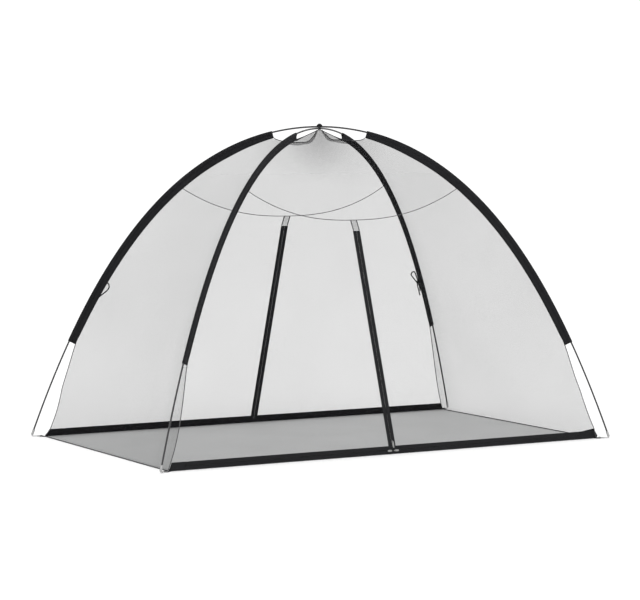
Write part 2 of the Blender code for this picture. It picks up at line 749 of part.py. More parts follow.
def make_hem(door):
    """The hem band with the lower half of the hem zip, and its full height past the zip's ends."""
    (_, top_w), (end_x, end_w) = door.fold(1)
    slope = (end_x - BAND_WIDTH / 2) / (end_w - top_w)
    end, foot = HALF_LENGTH - HEM_END_INSET, HALF_LENGTH - HEM_FOOT_INSET
    low = end_w - TAPE_GAP / 2
    past = end_x - (BAND_WIDTH - end_w) * abs(slope) + FOLD_GAP * 2
    notch = end_x + FOLD_GAP * 2
    outline = [(-foot, HEM_RISE), (foot, HEM_RISE), (end, BAND_WIDTH), (past, BAND_WIDTH), (notch, low)]
    outline += [(-notch, low), (-past, BAND_WIDTH), (-end, BAND_WIDTH)]
    plate(f"{DOOR_NAMES[door.side]}_hem_band", [outline], TAPE, "black_cloth", door.matrix)


def make_patch(door):
    """The translucent patch from the zip's top to the seam."""
    low = door.point(0, door.top + GAP)
    high = seam_point(door.side, 0)
    up = (high - low).normalized()
    length = (high - low).length - EDGE_INSET
    half = BAND_WIDTH / 2 - GAP
    outline = [(-half, GAP), (half, GAP), (half, length), (-half, length)]
    plate(f"{DOOR_NAMES[door.side]}_zip_patch", [outline], NET, "patch", frame(low, door.along, up))


def slider_outline():
    """The side view of a slider: its body, and the eye that the pull's bar turns in."""
    half = SLIDER_LENGTH / 2
    eye = EYE_LENGTH / 2
    wall = eye + EYE_WALL
    top = SLIDER_BODY + EYE_HEIGHT
    outer = [(-half, 0), (half, 0), (half, SLIDER_BODY / 2), (wall, SLIDER_BODY), (wall, top + EYE_WALL / 2)]
    outer += [(wall - EYE_WALL / 2, top + EYE_WALL), (EYE_WALL / 2 - wall, top + EYE_WALL)]
    outer += [(-wall, top + EYE_WALL / 2), (-wall, SLIDER_BODY), (-half, SLIDER_BODY / 2)]
    inner = [(-eye, SLIDER_BODY), (eye, SLIDER_BODY), (eye, top), (-eye, top)]
    return [outer, inner]


def make_slider(name, door, middle, travel, pull_length, pivots):
    """A slider on a half tape, and its pull, which points the other way from travel."""
    across = door.out.cross(travel)
    seat = door.point(*middle, TAPE / 2 + GAP)
    slider = frame(seat, travel, door.out)
    plate(name, slider_outline(), SLIDER_WIDTH, "grey_metal", slider, pivots[0])
    axis = seat + door.out * (SLIDER_BODY + EYE_HEIGHT / 2)
    bar, arm = PULL_BAR / 2, SLIDER_WIDTH / 2 + CLEARANCE / 2 + GAP
    side = arm + PULL_ARM
    end = pull_length - bar
    outer = [(bar, -side), (bar, side), (-end * PULL_SHOULDER_SHARE, side), (-end, side * PULL_END_SHARE)]
    outer += [(-end, -side * PULL_END_SHARE), (-end * PULL_SHOULDER_SHARE, -side)]
    inner = [(-bar, -arm), (-bar, arm), (-PULL_WINDOW, arm), (-PULL_WINDOW, -arm)]
    plate(f"{name}_pull", [outer, inner], PULL_CLOTH, "grey_metal", frame(axis, travel, across), pivots[1])
    return axis


def pull_axis(door, middle):
    """Where a slider's pull turns."""
    return door.point(*middle, TAPE / 2 + GAP + SLIDER_BODY + EYE_HEIGHT / 2)


def make_door(side):
    """One long side: hem, patch, two flaps, their fixed sides, and the sliders."""
    door = Door(side)
    where = DOOR_NAMES[side]
    make_hem(door)
    make_patch(door)
    slider_x = TAPE_GAP / 2 + SLIDER_WIDTH / 2 + PULL_ARM + CLEARANCE
    for hand in (-1, 1):
        make_door_side(f"{where}_door_side_{door.name(hand)}", door, hand)
        _, (end_x, end_w) = door.fold(hand)
        hinge = empty(f"{where}_flap_{door.name(hand)}_hinge", door.point(end_x, end_w))
        make_flap(door, hand, hinge)
        middle = (hand * HEM_SLIDER_OFFSET, door.zip - HEM_SLIDER_DROP)
        name = f"{where}_hem_slider_{door.name(hand)}"
        track = empty(f"{name}_track", door.point(*middle))
        pin = empty(f"{name}_pull_pivot", pull_axis(door, middle))
        make_slider(name, door, middle, -door.along * hand, HEM_PULL_LENGTH, (track, pin))
    middle = (slider_x, DOOR_SLIDER_HEIGHT)
    name = f"{where}_door_slider"
    track = empty(f"{name}_track", door.point(*middle))
    pin = empty(f"{name}_pull_pivot", pull_axis(door, middle))
    make_slider(name, door, middle, door.up, DOOR_PULL_LENGTH, (track, pin))


# The rest


def make_floor():
    """The floor sheet, its corners cut across for the tabs, and the bindings on its short sides."""
    long_half = HALF_LENGTH - SIDE_BINDING_WIDTH - GAP
    wide_half = HALF_WIDTH - 2 * TAPE - GAP
    cut = CORNER_RADIUS - CORNER_CUT
    at_side = (cut - wide_half * DIAGONAL.y) / DIAGONAL.x
    at_end = (cut - long_half * DIAGONAL.x) / DIAGONAL.y
    quarter = [(long_half, at_end), (at_side, wide_half)]
    outline = [*quarter, *[(-x, y) for x, y in reversed(quarter)]]
    outline += [(-x, -y) for x, y in outline]
    flat = Matrix.Translation((0, 0, FLOOR_CLOTH / 2))
    plate("floor", [outline], FLOOR_CLOTH, "floor", flat)
    reach = at_end - SIDE_BINDING_HEIGHT
    for side, name in ((-1, "left"), (1, "right")):
        low, high = sorted((side * HALF_LENGTH, side * (HALF_LENGTH - SIDE_BINDING_WIDTH)))
        block(f"side_binding_{name}", (low, -reach, 0), (high, reach, SIDE_BINDING_HEIGHT), "binding")


def make_crown():
    """The cord that ties the crossed poles, its knot on top, and the cap under it that gathers the canopy."""
    cord = TIE_CORD / 2
    top = ARCH_HEIGHT + POLE_DIAMETER + GAP + CLEARANCE + cord
    foot = PEAK_HEIGHT
    half = POLE_DIAMETER / 2 / DIAGONAL.x + CLEARANCE + cord
    middle, reach = (top + foot) / 2, (top - foot) / 2
    loop = []
    for k in range(TIE_STEPS):
        angle = 2 * math.pi * k / TIE_STEPS
        side = max(-1, min(1, math.cos(angle) * TIE_SQUARE_SHARE))
        loop.append((0, half * side, middle + reach * math.sin(angle)))
    tie = as_mesh(tube("crown_tie", loop, cord, "black_cloth", sides=6, closed=True))
    tie.name = "crown_tie"
    mesh = bpy.data.meshes.new("crown_cap")
    cap = bmesh.new()
    bmesh.ops.create_cone(
        cap,
        cap_ends=True,
        segments=CAP_STEPS,
        radius1=CROWN_CAP_RADIUS,
        radius2=CROWN_CAP_RADIUS / 2,
        depth=CROWN_CAP_HEIGHT,
    )
    cap.to_mesh(mesh)
    cap.free()
    sew(tie, add("crown_cap", mesh, "black_cloth", Matrix.Translation((0, 0, PEAK_HEIGHT))))
    mesh = bpy.data.meshes.new("crown_knot")
    knot = bmesh.new()
    bmesh.ops.create_uvsphere(knot, u_segments=KNOT_STEPS, v_segments=KNOT_STEPS // 2, radius=TIE_KNOT / 2)
    knot.to_mesh(mesh)
    knot.free()
    sew(tie, add("crown_knot", mesh, "black_cloth", Matrix.Translation((0, 0, top + TIE_KNOT / 2 - cord / 2))))


def make_tie_backs():
    """A cord loop on the back side of each back ridge, to hold a rolled flap."""
    start = RIDGE.at_height(TIE_BACK_HEIGHT)
    seat = (BINDING_DIAMETER + TIE_BACK_CORD) / 2 + GAP
    for side, name in ((-1, "left"), (1, "right")):
        across = Vector((-side * DIAGONAL.y, DIAGONAL.x, 0))
        loop = []
        for k in range(TIE_STEPS):
            angle = 2 * math.pi * k / TIE_STEPS
            length = start + TIE_BACK_LENGTH * (1 - math.cos(angle)) / 2
            out = seat + TIE_BACK_WIDTH * (1 + math.sin(angle)) / 2
            loop.append(RIDGE.point((side, 1), length) + across * out)
        tube(f"tie_back_{name}", loop, TIE_BACK_CORD / 2, "black_cloth", sides=6, closed=True)


LIFT = (POLE_DIAMETER + GAP) / 2
LOWER_ARCH = Arch((1, 1), ARCH_HEIGHT - LIFT)
UPPER_ARCH = Arch((1, -1), ARCH_HEIGHT + LIFT)
ARCHES = {"front_left": LOWER_ARCH, "back_right": LOWER_ARCH, "front_right": UPPER_ARCH, "back_left": UPPER_ARCH}
MEAN_ARCH = Arch((1, 1), ARCH_HEIGHT)
RIDGE = Ridge(MEAN_ARCH)


def main():
    for obj in list(bpy.data.objects):
        bpy.data.objects.remove(obj)
    for name in ("mosquito_net_tent", "guides"):
        bpy.context.scene.collection.children.link(bpy.data.collections.new(name))
    make_pole("lower_pole", LOWER_ARCH)
    make_pole("upper_pole", UPPER_ARCH)
    for name, corner in CORNERS.items():
        arch = ARCHES[name]
        sleeve = make_sleeve(f"sleeve_{name}", corner, arch)
        route = [RIDGE.point(corner, stop) for stop in RIDGE.stops]
        sew(sleeve, as_mesh(tube(f"ridge_binding_{name}", route, BINDING_DIAMETER / 2, "black_cloth", sides=6)))
        make_tip(f"pole_tip_{name}", corner, arch)
        make_tab(f"corner_tab_{name}", corner)
        make_pin(f"corner_pin_{name}", corner, arch)
    make_floor()
    for side, name in DOOR_NAMES.items():
        make_roof(f"roof_{name}", side)
        seam = [seam_point(side, -1 + 2 * k / PANEL_COLUMNS) for k in range(PANEL_COLUMNS + 1)]
        seam[0], seam[-1] = (mix(seam[0], seam[1], SEAM_END_SHARE), mix(seam[-1], seam[-2], SEAM_END_SHARE))
        tube(f"seam_{name}", seam, BINDING_DIAMETER / 2, "binding", sides=6)
        make_door(side)
    make_end_wall("end_wall_left", -1)
    make_end_wall("end_wall_right", 1)
    make_crown()
    make_tie_backs()


main()
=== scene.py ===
import math

import bmesh
import bpy
import numpy as np
from mathutils import Matrix, Vector


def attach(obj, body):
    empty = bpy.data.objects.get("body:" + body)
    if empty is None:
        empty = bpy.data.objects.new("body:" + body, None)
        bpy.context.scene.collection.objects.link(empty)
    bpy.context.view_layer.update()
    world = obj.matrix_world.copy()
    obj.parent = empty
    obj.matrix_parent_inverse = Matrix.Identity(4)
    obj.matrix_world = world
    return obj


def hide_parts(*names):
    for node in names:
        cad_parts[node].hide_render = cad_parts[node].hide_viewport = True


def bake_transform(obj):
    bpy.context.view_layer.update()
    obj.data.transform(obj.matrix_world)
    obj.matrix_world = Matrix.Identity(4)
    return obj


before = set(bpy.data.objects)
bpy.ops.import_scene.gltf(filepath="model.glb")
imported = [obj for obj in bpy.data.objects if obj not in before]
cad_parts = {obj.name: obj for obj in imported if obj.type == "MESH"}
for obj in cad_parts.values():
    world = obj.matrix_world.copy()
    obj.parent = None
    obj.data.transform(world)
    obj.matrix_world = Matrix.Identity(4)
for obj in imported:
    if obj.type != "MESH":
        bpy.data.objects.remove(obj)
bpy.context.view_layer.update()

# The tent's sizes, in metres
HALF_LENGTH, HALF_WIDTH = 1.0, 0.6
HEIGHT = 1.305
CORNER_RADIUS = math.hypot(HALF_LENGTH, HALF_WIDTH)
FOOT_RADIUS = CORNER_RADIUS + 0.0545
DIAGONAL = Vector((HALF_LENGTH / CORNER_RADIUS, HALF_WIDTH / CORNER_RADIUS, 0))
POLE = 0.007
LIFT = (POLE + 0.0003) / 2
SECTIONS = 7
FERRULE_REACH, FERRULE_WIDTH = 0.0275, 1.33
TUBE_INSET, ELASTIC_INSET = 0.0111, 0.03
SLEEVE_TOP, SLEEVE_FOOT = 0.198, CORNER_RADIUS - 0.109
SLEEVE_BEND = 0.0057
SLEEVE_EDGE = 0.0279
SLEEVE_CLOTH = 0.0007
RIDGE_DEPTH = 0.0287
RIDGE_WIRE = 0.0017
PEAK = 1.2945
RIDGE_TOP, NET_TOP = 0.0118, 0.0125
RIDGE_LIFT, LIFT_REACH = 0.009, 0.18
CROWN_SLACK = 0.005
RIM_START = 0.135

# The ridges' line near the crown as (radius, height), and shares of radius and height of its last stretch
CROWN_LINE = (
    *((RIDGE_TOP, PEAK), (0.0189, 1.2783), (0.0282, 1.2661), (0.040, 1.2509), (0.052, 1.2415)),
    *((0.070, 1.2395), (0.096, 1.2390), (0.130, 1.2380), (0.165, 1.2422), (0.184, 1.2480)),
)
FOOT_SHARES = ((0.27, 0.68), (0.57, 0.335), (0.87, 0.08))

# How far out each ridge's foot lies from the plain line: heights, then offsets
FOOT_SLACK = {
    (-1, -1): ((0.0055, 0.024, 0.075, 0.16, 0.25, 0.376), (0.004, 0.004, -0.004, -0.009, -0.008, 0)),
    (1, -1): ((0.0055, 0.04, 0.14, 0.20, 0.26, 0.396), (0.004, 0.014, 0.014, 0.012, 0.006, 0)),
    (-1, 1): ((0.0055, 0.028, 0.10, 0.21, 0.37), (0, -0.006, -0.003, 0.005, 0)),
    (1, 1): ((0, 1), (0, 0)),
}

# Insets of a hem end's top, knee and foot from the floor's corner, and how far its top rises
HEM_END = (0.0195, 0.0085, 0.0006), 0
PULLED_HEM_END = (0.0045, -0.0085, -0.0025), 0.009
HEM_SHOULDER, HEM_KNEE = 0.070, 0.0110

# Doors: the seam above them, the zip's top, bands and tapes
SEAM_RADIUS = 0.575
SEAM_WIRE, SEAM_DROP = 0.0014, 0.0017
SEAM_SIDE, SEAM_HEIGHT = 0.2806, 0.9266
ZIP_TOP_SIDE, ZIP_TOP_HEIGHT = 0.3047, 0.8844
SEAM_POWER, WALL_POWER = 2.4, 2.2
BAND = 0.033
TAPE = 0.0012
TAPE_GAP = 0.001
COIL_OFFSET, COIL_INSET = 0.0012, 0.004
TRIM = 0.0006
GAP = 0.0003
EDGE = BAND / 2 + GAP
ZIP_END = HALF_LENGTH - 0.075
NET_EDGE = 0.0019
DOOR_START, FOLD_BLEND = 0.043, 0.012

# Floor corners, tie-backs and flat sizes
FLOOR_CUT = CORNER_RADIUS - 0.009
RING_HEIGHT = 0.0028
RING_RADIUS = FLOOR_CUT + GAP + 0.020 + 0.011
TIE_RADIUS, TIE_OFFSET = 0.0026, 0.0055
ROOF_FLAT, DOOR_FLAT, WALL_FLAT = (0.99, 0.46), (0.99, 1.08), (1.2, 1.75)
CORNERS = {"front_left": (-1, -1), "front_right": (1, -1), "back_left": (-1, 1), "back_right": (1, 1)}
POLES = {"front_left": "lower", "back_right": "lower", "front_right": "upper", "back_left": "upper"}


# Materials


def tinted(colour, share):
    """A colour made darker or paler."""
    return tuple(min(1, c * share) for c in colour)


class Shader:
    """A Principled material and short calls for its nodes."""

    def __init__(self, name, colour, roughness, metallic=0.0, **sockets):
        self.material = bpy.data.materials.new(name)
        self.material.use_nodes = True
        self.tree = self.material.node_tree
        self.bsdf = self.tree.nodes["Principled BSDF"]
        self.bsdf.inputs["Base Color"].default_value = (*colour, 1)
        self.bsdf.inputs["Roughness"].default_value = roughness
        self.bsdf.inputs["Metallic"].default_value = metallic
        for socket, value in sockets.items():
            self.bsdf.inputs[socket.replace("_", " ")].default_value = value

    def node(self, kind, **inputs):
        made = self.tree.nodes.new(kind)
        for name, value in inputs.items():
            self.put(made.inputs[name.replace("_", " ")], value)
        return made

    def put(self, socket, value):
        if isinstance(value, bpy.types.NodeSocket):
            self.tree.links.new(value, socket)
        else:
            socket.default_value = value

    def math(self, operation, *values):
        made = self.tree.nodes.new("ShaderNodeMath")
        made.operation = operation
        for socket, value in zip(made.inputs, values):
            self.put(socket, value)
        return made.outputs[0]

    def uv(self):
        split = self.node("ShaderNodeSeparateXYZ", Vector=self.node("ShaderNodeUVMap").outputs[0])
        return split.outputs[0], split.outputs[1]

    def noise(self, scale, detail=3.0, stretch=None):
        place = self.node("ShaderNodeTexCoord").outputs["Object"]
        if stretch:
            place = self.node("ShaderNodeMapping", Vector=place, Scale=stretch).outputs[0]
        return self.node("ShaderNodeTexNoise", Vector=place, Scale=scale, Detail=detail).outputs["Fac"]

    def ramp(self, value, low, high, out_low=0.0, out_high=1.0):
        made = self.node("ShaderNodeMapRange", Value=value)
        limits = {"From Min": low, "From Max": high, "To Min": out_low, "To Max": out_high}
        for name, number in limits.items():
            made.inputs[name].default_value = number
        return made.outputs[0]

    def blend(self, share, first, second):
        made = self.tree.nodes.new("ShaderNodeMix")
        made.data_type = "RGBA"
        self.put(made.inputs["Factor"], share)
        for socket, value in zip((s for s in made.inputs if s.type == "RGBA"), (first, second)):
            self.put(socket, (*value, 1) if isinstance(value, tuple) else value)
        return next(s for s in made.outputs if s.type == "RGBA")

    def measure(self, operation, vector):
        """The distance or dot product between a place on the object and a vector."""
        place = self.node("ShaderNodeTexCoord").outputs["Object"]
        made = self.tree.nodes.new("ShaderNodeVectorMath")
        made.operation = operation
        self.put(made.inputs[0], place)
        made.inputs[1].default_value = vector
        return made.outputs["Value"]

    def colour(self, value):
        self.put(self.bsdf.inputs["Base Color"], value)

    def bump(self, height, distance, strength=0.6):
        made = self.node("ShaderNodeBump", Height=height, Strength=strength, Distance=distance)
        self.put(self.bsdf.inputs["Normal"], made.outputs[0])

    def threads(self, along, pitch, share):
        """Lines across one direction: 1 on a thread, 0 between, share of the pitch wide."""
        wave = self.math("COSINE", self.math("MULTIPLY", along, 2 * math.pi / pitch))
        edge = math.cos(math.pi * share)
        return self.ramp(wave, edge - 0.12, edge + 0.12)


def net_material(name, coverage, colour, crown_shade=0.0, pulled_hem_or_ridge_shade=False):
    """Fine mosquito net: square mesh, see-through between the threads; painted shade can make it denser, so
    darker, towards the peak.

    The last flag adds painted shade: the net is denser, so darker, near the lower pole's two ridges.
    """
    shader = Shader(name, colour, 0.8, Specular_IOR_Level=0.0)
    x, y = shader.uv()
    pitch, share = 0.0017, 0.12
    thread = shader.math("MAXIMUM", shader.threads(x, pitch, share), shader.threads(y, pitch, share))
    cloud = shader.ramp(shader.noise(2.2), 0.3, 0.7, 0.94, 1.06)
    low, high = coverage * 0.72, coverage * 1.24
    alpha = shader.math("MULTIPLY", shader.ramp(thread, 0, 1, low, high + low), cloud)
    # Painted shade near the peak: the net is made denser, so darker, towards it.
    if crown_shade:
        away = shader.measure("DISTANCE", (0, 0, PEAK))
        crown_shade_factor = shader.ramp(away, 0.02, 0.30, 1 + crown_shade, 1)
        alpha = shader.math("MULTIPLY", alpha, crown_shade_factor)
    # Painted shade beside the lower pole's ridges: the net is made denser, so darker, near them.
    if pulled_hem_or_ridge_shade:
        off = shader.math("ABSOLUTE", shader.measure("DOT_PRODUCT", (DIAGONAL.y, -DIAGONAL.x, 0)))
        ridge_shade = shader.math("ADD", shader.ramp(off, 0, 0.70, 1.04, 0.86), shader.ramp(off, 0, 0.16, 0.30, 0))
        alpha = shader.math("MULTIPLY", alpha, ridge_shade)
    shader.put(shader.bsdf.inputs["Alpha"], alpha)
    return shader.material


def cloth_material(name, colour, pitch=0.0007, seams=(), light=1.9):
    """Woven cloth with rows of stitches at the given places across it (UV metres)."""
    shader = Shader(name, colour, 0.78, Specular_IOR_Level=0.15)
    x, y = shader.uv()
    weave = shader.math(
        "MULTIPLY",
        shader.math("SINE", shader.math("MULTIPLY", x, 2 * math.pi / pitch)),
        shader.math("SINE", shader.math("MULTIPLY", y, 2 * math.pi / pitch)),
    )
    woven = shader.ramp(weave, -1, 1, 0, 0.5)
    tone = shader.math("ADD", woven, shader.ramp(shader.noise(9), 0.3, 0.7, 0, 0.5))
    mixed = shader.blend(tone, colour, tinted(colour, light))
    height = weave
    for place in seams:
        off = shader.math("ABSOLUTE", shader.math("SUBTRACT", y, place))
        near = shader.ramp(off, 0.0004, 0.0007, 1, 0)
        dash = shader.threads(x, 0.0035, 0.72)
        stitch = shader.math("MULTIPLY", near, dash)
        groove = shader.ramp(off, 0, 0.0022, -3.0, 0)
        height = shader.math("ADD", height, shader.math("ADD", groove, shader.math("MULTIPLY", stitch, 4.0)))
        mixed = shader.blend(shader.math("MULTIPLY", stitch, 0.75), mixed, tinted(colour, 3))
    shader.colour(mixed)
    shader.bump(height, pitch * 0.25, 0.7)
    return shader.material


def metal_material(name, colour, roughness):
    """Bare metal with fine scratches and duller patches."""
    shader = Shader(name, colour, roughness, metallic=1.0)
    scratch = shader.noise(260, 2.0, (1, 1, 12))
    dull = shader.ramp(shader.noise(60), 0.35, 0.7, roughness - 0.07, roughness + 0.12)
    shader.put(shader.bsdf.inputs["Roughness"], dull)
    shader.colour(shader.blend(shader.ramp(scratch, 0.4, 0.7), colour, tinted(colour, 0.82)))
    shader.bump(scratch, 0.0001, 0.3)
    return shader.material


def plastic_material(name, colour, roughness):
    """Coated fibreglass or plastic with faint lengthwise streaks."""
    shader = Shader(name, colour, roughness, Coat_Weight=0.25)
    streak = shader.noise(120, 3.0, (1, 1, 0.1))
    shader.colour(shader.blend(streak, colour, tinted(colour, 1.9)))
    shader.bump(streak, 0.0001, 0.25)
    return shader.material


def coil_material(name, colour):
    """The coil of a zip: round turns side by side along it."""
    shader = Shader(name, colour, 0.62, Specular_IOR_Level=0.25)
    x, _ = shader.uv()
    turn = shader.math("SINE", shader.math("MULTIPLY", x, 2 * math.pi / 0.0015))
    shader.colour(shader.blend(shader.ramp(turn, -1, 1), tinted(colour, 0.5), tinted(colour, 1.6)))
    shader.bump(turn, 0.0005, 0.9)
    return shader.material


def floor_material(name, colour):
    """Thin coated cloth, with faint creases."""
    shader = Shader(name, colour, 0.62, Sheen_Weight=0.1)
    x, y = shader.uv()
    weave = shader.math("MAXIMUM", shader.threads(x, 0.0009, 0.3), shader.threads(y, 0.0009, 0.3))
    crease = shader.noise(3.5, 5.0)
    tone = shader.math("ADD", shader.ramp(crease, 0.35, 0.65, 0, 0.6), shader.math("MULTIPLY", weave, 0.3))
    shader.colour(shader.blend(tone, tinted(colour, 0.95), tinted(colour, 1.05)))
    height = shader.math("ADD", crease, shader.math("MULTIPLY", weave, 0.01))
    shader.bump(height, 0.01, 0.25)
    return shader.material


NET = net_material("net_wall", 0.200, (0.010, 0.010, 0.011))
# The end walls and roofs carry painted shade near the peak; the end walls also carry it beside the lower
# pole's ridges.
NET_END = net_material("net_end", 0.277, (0.010, 0.010, 0.011), 0.15, True)
NET_ROOF = net_material("net_roof", 0.214, (0.010, 0.010, 0.011), 0.9)
PATCH = net_material("zip_patch", 0.30, (0.10, 0.10, 0.10))
FLOOR = floor_material("floor_cloth", (0.515, 0.52, 0.52))
SLEEVE = cloth_material("black_sleeve", (0.008, 0.008, 0.009), seams=(0.0125, 0.0255))
HEM = cloth_material("black_hem", (0.008, 0.008, 0.009), seams=(0.0035, 0.0295))
ZIP_TAPE = cloth_material("zip_tape", (0.009, 0.009, 0.010), seams=(0.0125,))
BINDING = cloth_material("grey_binding", (0.060, 0.060, 0.062), pitch=0.0006)
DARK_BINDING = cloth_material("dark_binding", (0.02, 0.02, 0.022), pitch=0.0006)
WEBBING = cloth_material("webbing", (0.012, 0.012, 0.013), pitch=0.0016, seams=(0.0,), light=1.5)
CORD = cloth_material("black_cord", (0.008, 0.008, 0.009), pitch=0.0009, light=2.6)
TIE = cloth_material("tie_cord", (0.004, 0.004, 0.004), pitch=0.0009, light=0.4)
COIL = coil_material("zip_coil", (0.012, 0.012, 0.013))
FIBREGLASS = plastic_material("fibreglass", (0.007, 0.007, 0.008), 0.42)
ELASTIC = cloth_material("elastic", (0.7, 0.7, 0.69), pitch=0.0012, light=1.1)
STEEL = metal_material("steel", (0.42, 0.42, 0.42), 0.34)
ZIP_METAL = metal_material("zip_metal", (0.33, 0.33, 0.325), 0.48)


# Building pieces


def finished(obj, material, body="root", nodes=()):
    """Puts a piece in the scene with its material and body, and hides the nodes that it replaces."""
    bpy.context.scene.collection.objects.link(obj)
    obj.data.materials.append(material)
    if body:
        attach(obj, body)
    if nodes:
        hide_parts(*nodes)
    return obj


def grid(name, rows, material, body="root", nodes=(), across=None, thickness=0):
    """A sheet of quads through rows of points; its UVs are metres along and across the cloth."""
    count, wide = len(rows), len(rows[0])
    verts = [point for row in rows for point in row]
    faces = [
        (i * wide + j, i * wide + j + 1, (i + 1) * wide + j + 1, (i + 1) * wide + j)
        for i in range(count - 1)
        for j in range(wide - 1)
    ]
    mesh = bpy.data.meshes.new(name)
    mesh.from_pydata(verts, [], faces)
    points = np.array([[tuple(p) for p in row] for row in rows])
    middle = wide // 2
    down = np.concatenate([[0], np.cumsum(np.linalg.norm(np.diff(points[:, middle], axis=0), axis=1))])
    steps = np.linalg.norm(np.diff(points, axis=1), axis=2)
    side = np.concatenate([np.zeros((count, 1)), np.cumsum(steps, axis=1)], axis=1)
    side -= side[:, middle : middle + 1]
    if across is not None:
        side = np.tile(np.array(across), (count, 1))
    layer = mesh.uv_layers.new(name="UVMap")
    for loop in mesh.loops:
        i, j = divmod(loop.vertex_index, wide)
        spot = (side[i, j], down[i]) if across is None else (down[i], side[i, j])
        layer.data[loop.index].uv = spot
    mesh.shade_smooth()
    obj = bpy.data.objects.new(name, mesh)
    if thickness:
        shell = obj.modifiers.new("thickness", "SOLIDIFY")
        shell.thickness = thickness
        shell.offset = 0
    return finished(obj, material, body, nodes)


def wire(name, route, radius, material, nodes=(), closed=False, widths=None, sides=12):
    """A round wire, tube or cord through the points of a route."""
    curve = bpy.data.curves.new(name, "CURVE")
    curve.dimensions = "3D"
    curve.bevel_depth = radius
    curve.bevel_resolution = sides // 2 - 2
    curve.use_fill_caps = True
    spline = curve.splines.new("POLY")
    spline.points.add(len(route) - 1)
    for k, (point, place) in enumerate(zip(spline.points, route)):
        point.co = (*place, 1)
        point.radius = widths[k] if widths else 1
    spline.use_cyclic_u = closed
    spline.use_smooth = True
    return finished(bpy.data.objects.new(name, curve), material, "root", nodes)


def through(points, steps):
    """A smooth line through points, as a denser list of points."""
    points = [Vector(p) for p in points]
    line = []
    for k, (a, b) in enumerate(zip(points, points[1:])):
        before, after = points[max(k - 1, 0)], points[min(k + 2, len(points) - 1)]
        for step in range(steps):
            t = step / steps
            line.append(
                0.5
                * (
                    2 * a
                    + (b - before) * t
                    + (2 * before - 5 * a + 4 * b - after) * t**2
                    + (3 * a - before - 3 * b + after) * t**3
                )
            )
    return [*line, points[-1]]


def lengths(line):
    """The length of each step of a line."""
    return [math.dist(a, b) for a, b in zip(line, line[1:])]


def plate(
    name, outline, thickness, matrix, material, slot, body="root", nodes=(), bevel=0.0002, endwise=False
):
    """A flat piece with its UVs in metres, and slightly rounded edges. An endwise one is longer along y."""
    mesh = bpy.data.meshes.new(name)
    shape = bmesh.new()
    verts = [shape.verts.new((x, y, -thickness / 2)) for x, y in outline]
    face = shape.faces.new(verts)
    turning = sum(a[0] * b[1] - b[0] * a[1] for a, b in zip(outline, outline[1:] + outline[:1]))
    if face.normal.z > 0 or turning > 0:
        bmesh.ops.reverse_faces(shape, faces=[face])
    made = bmesh.ops.extrude_face_region(shape, geom=[face])
    raised = [v for v in made["geom"] if isinstance(v, bmesh.types.BMVert)]
    bmesh.ops.translate(shape, verts=raised, vec=(0, 0, thickness))
    bmesh.ops.recalc_face_normals(shape, faces=shape.faces)
    layer = shape.loops.layers.uv.new("UVMap")
    for each in shape.faces:
        for loop in each.loops:
            x, y = loop.vert.co.x, loop.vert.co.y
            loop[layer].uv = (y, abs(x)) if endwise else (x, y)
    shape.to_mesh(mesh)
    shape.free()
    mesh.transform(matrix)
    obj = bpy.data.objects.new(name, mesh)
    rounded = obj.modifiers.new("edges", "BEVEL")
    rounded.width = bevel
    rounded.segments = 2
    return finished(obj, material, body, nodes)


def frame_matrix(origin, x_axis, y_axis):
    """The matrix of a plane with its origin and axes in the tent's frame."""
    x_axis, y_axis = Vector(x_axis).normalized(), Vector(y_axis).normalized()
    axes = Matrix((x_axis, y_axis, x_axis.cross(y_axis))).transposed().to_4x4()
    return Matrix.Translation(origin) @ axes


def mix(a, b, share):
    return a + (b - a) * share


def at_corner(corner, radius, height):
    """A point on the diagonal towards a floor corner."""
    return Vector((corner[0] * DIAGONAL.x * radius, corner[1] * DIAGONAL.y * radius, height))


def is_taut(corner):
    """Whether a ridge lies under the lower pole, which draws it taut."""
    return corner[0] == corner[1]


# The arches


CROSSING = {"lower": HEIGHT - LIFT, "upper": HEIGHT + LIFT}
SQUARE, FOURTH = 0.68, 0.32


def arch_height(radius, crossing):
    """How high a pole that crosses the middle at a height is at a radius from it."""
    share = radius / FOOT_RADIUS
    return crossing * (1 - SQUARE * share**2 - FOURTH * share**4)


def arch_normal(radius, crossing):
    """Outward normal of the arch in radius and height."""
    share = radius / FOOT_RADIUS
    slope = crossing * (-2 * SQUARE * share - 4 * FOURTH * share**3) / FOOT_RADIUS
    length = math.hypot(1, slope)
    return -slope / length, 1 / length


def even(line, count):
    """Points at even steps along a line of (radius, height)."""
    line = np.array(line)
    stops = np.concatenate([[0], np.cumsum(np.hypot(*np.diff(line, axis=0).T))])
    wanted = np.linspace(0, stops[-1], count)
    return [(float(np.interp(s, stops, line[:, 0])), float(np.interp(s, stops, line[:, 1]))) for s in wanted]


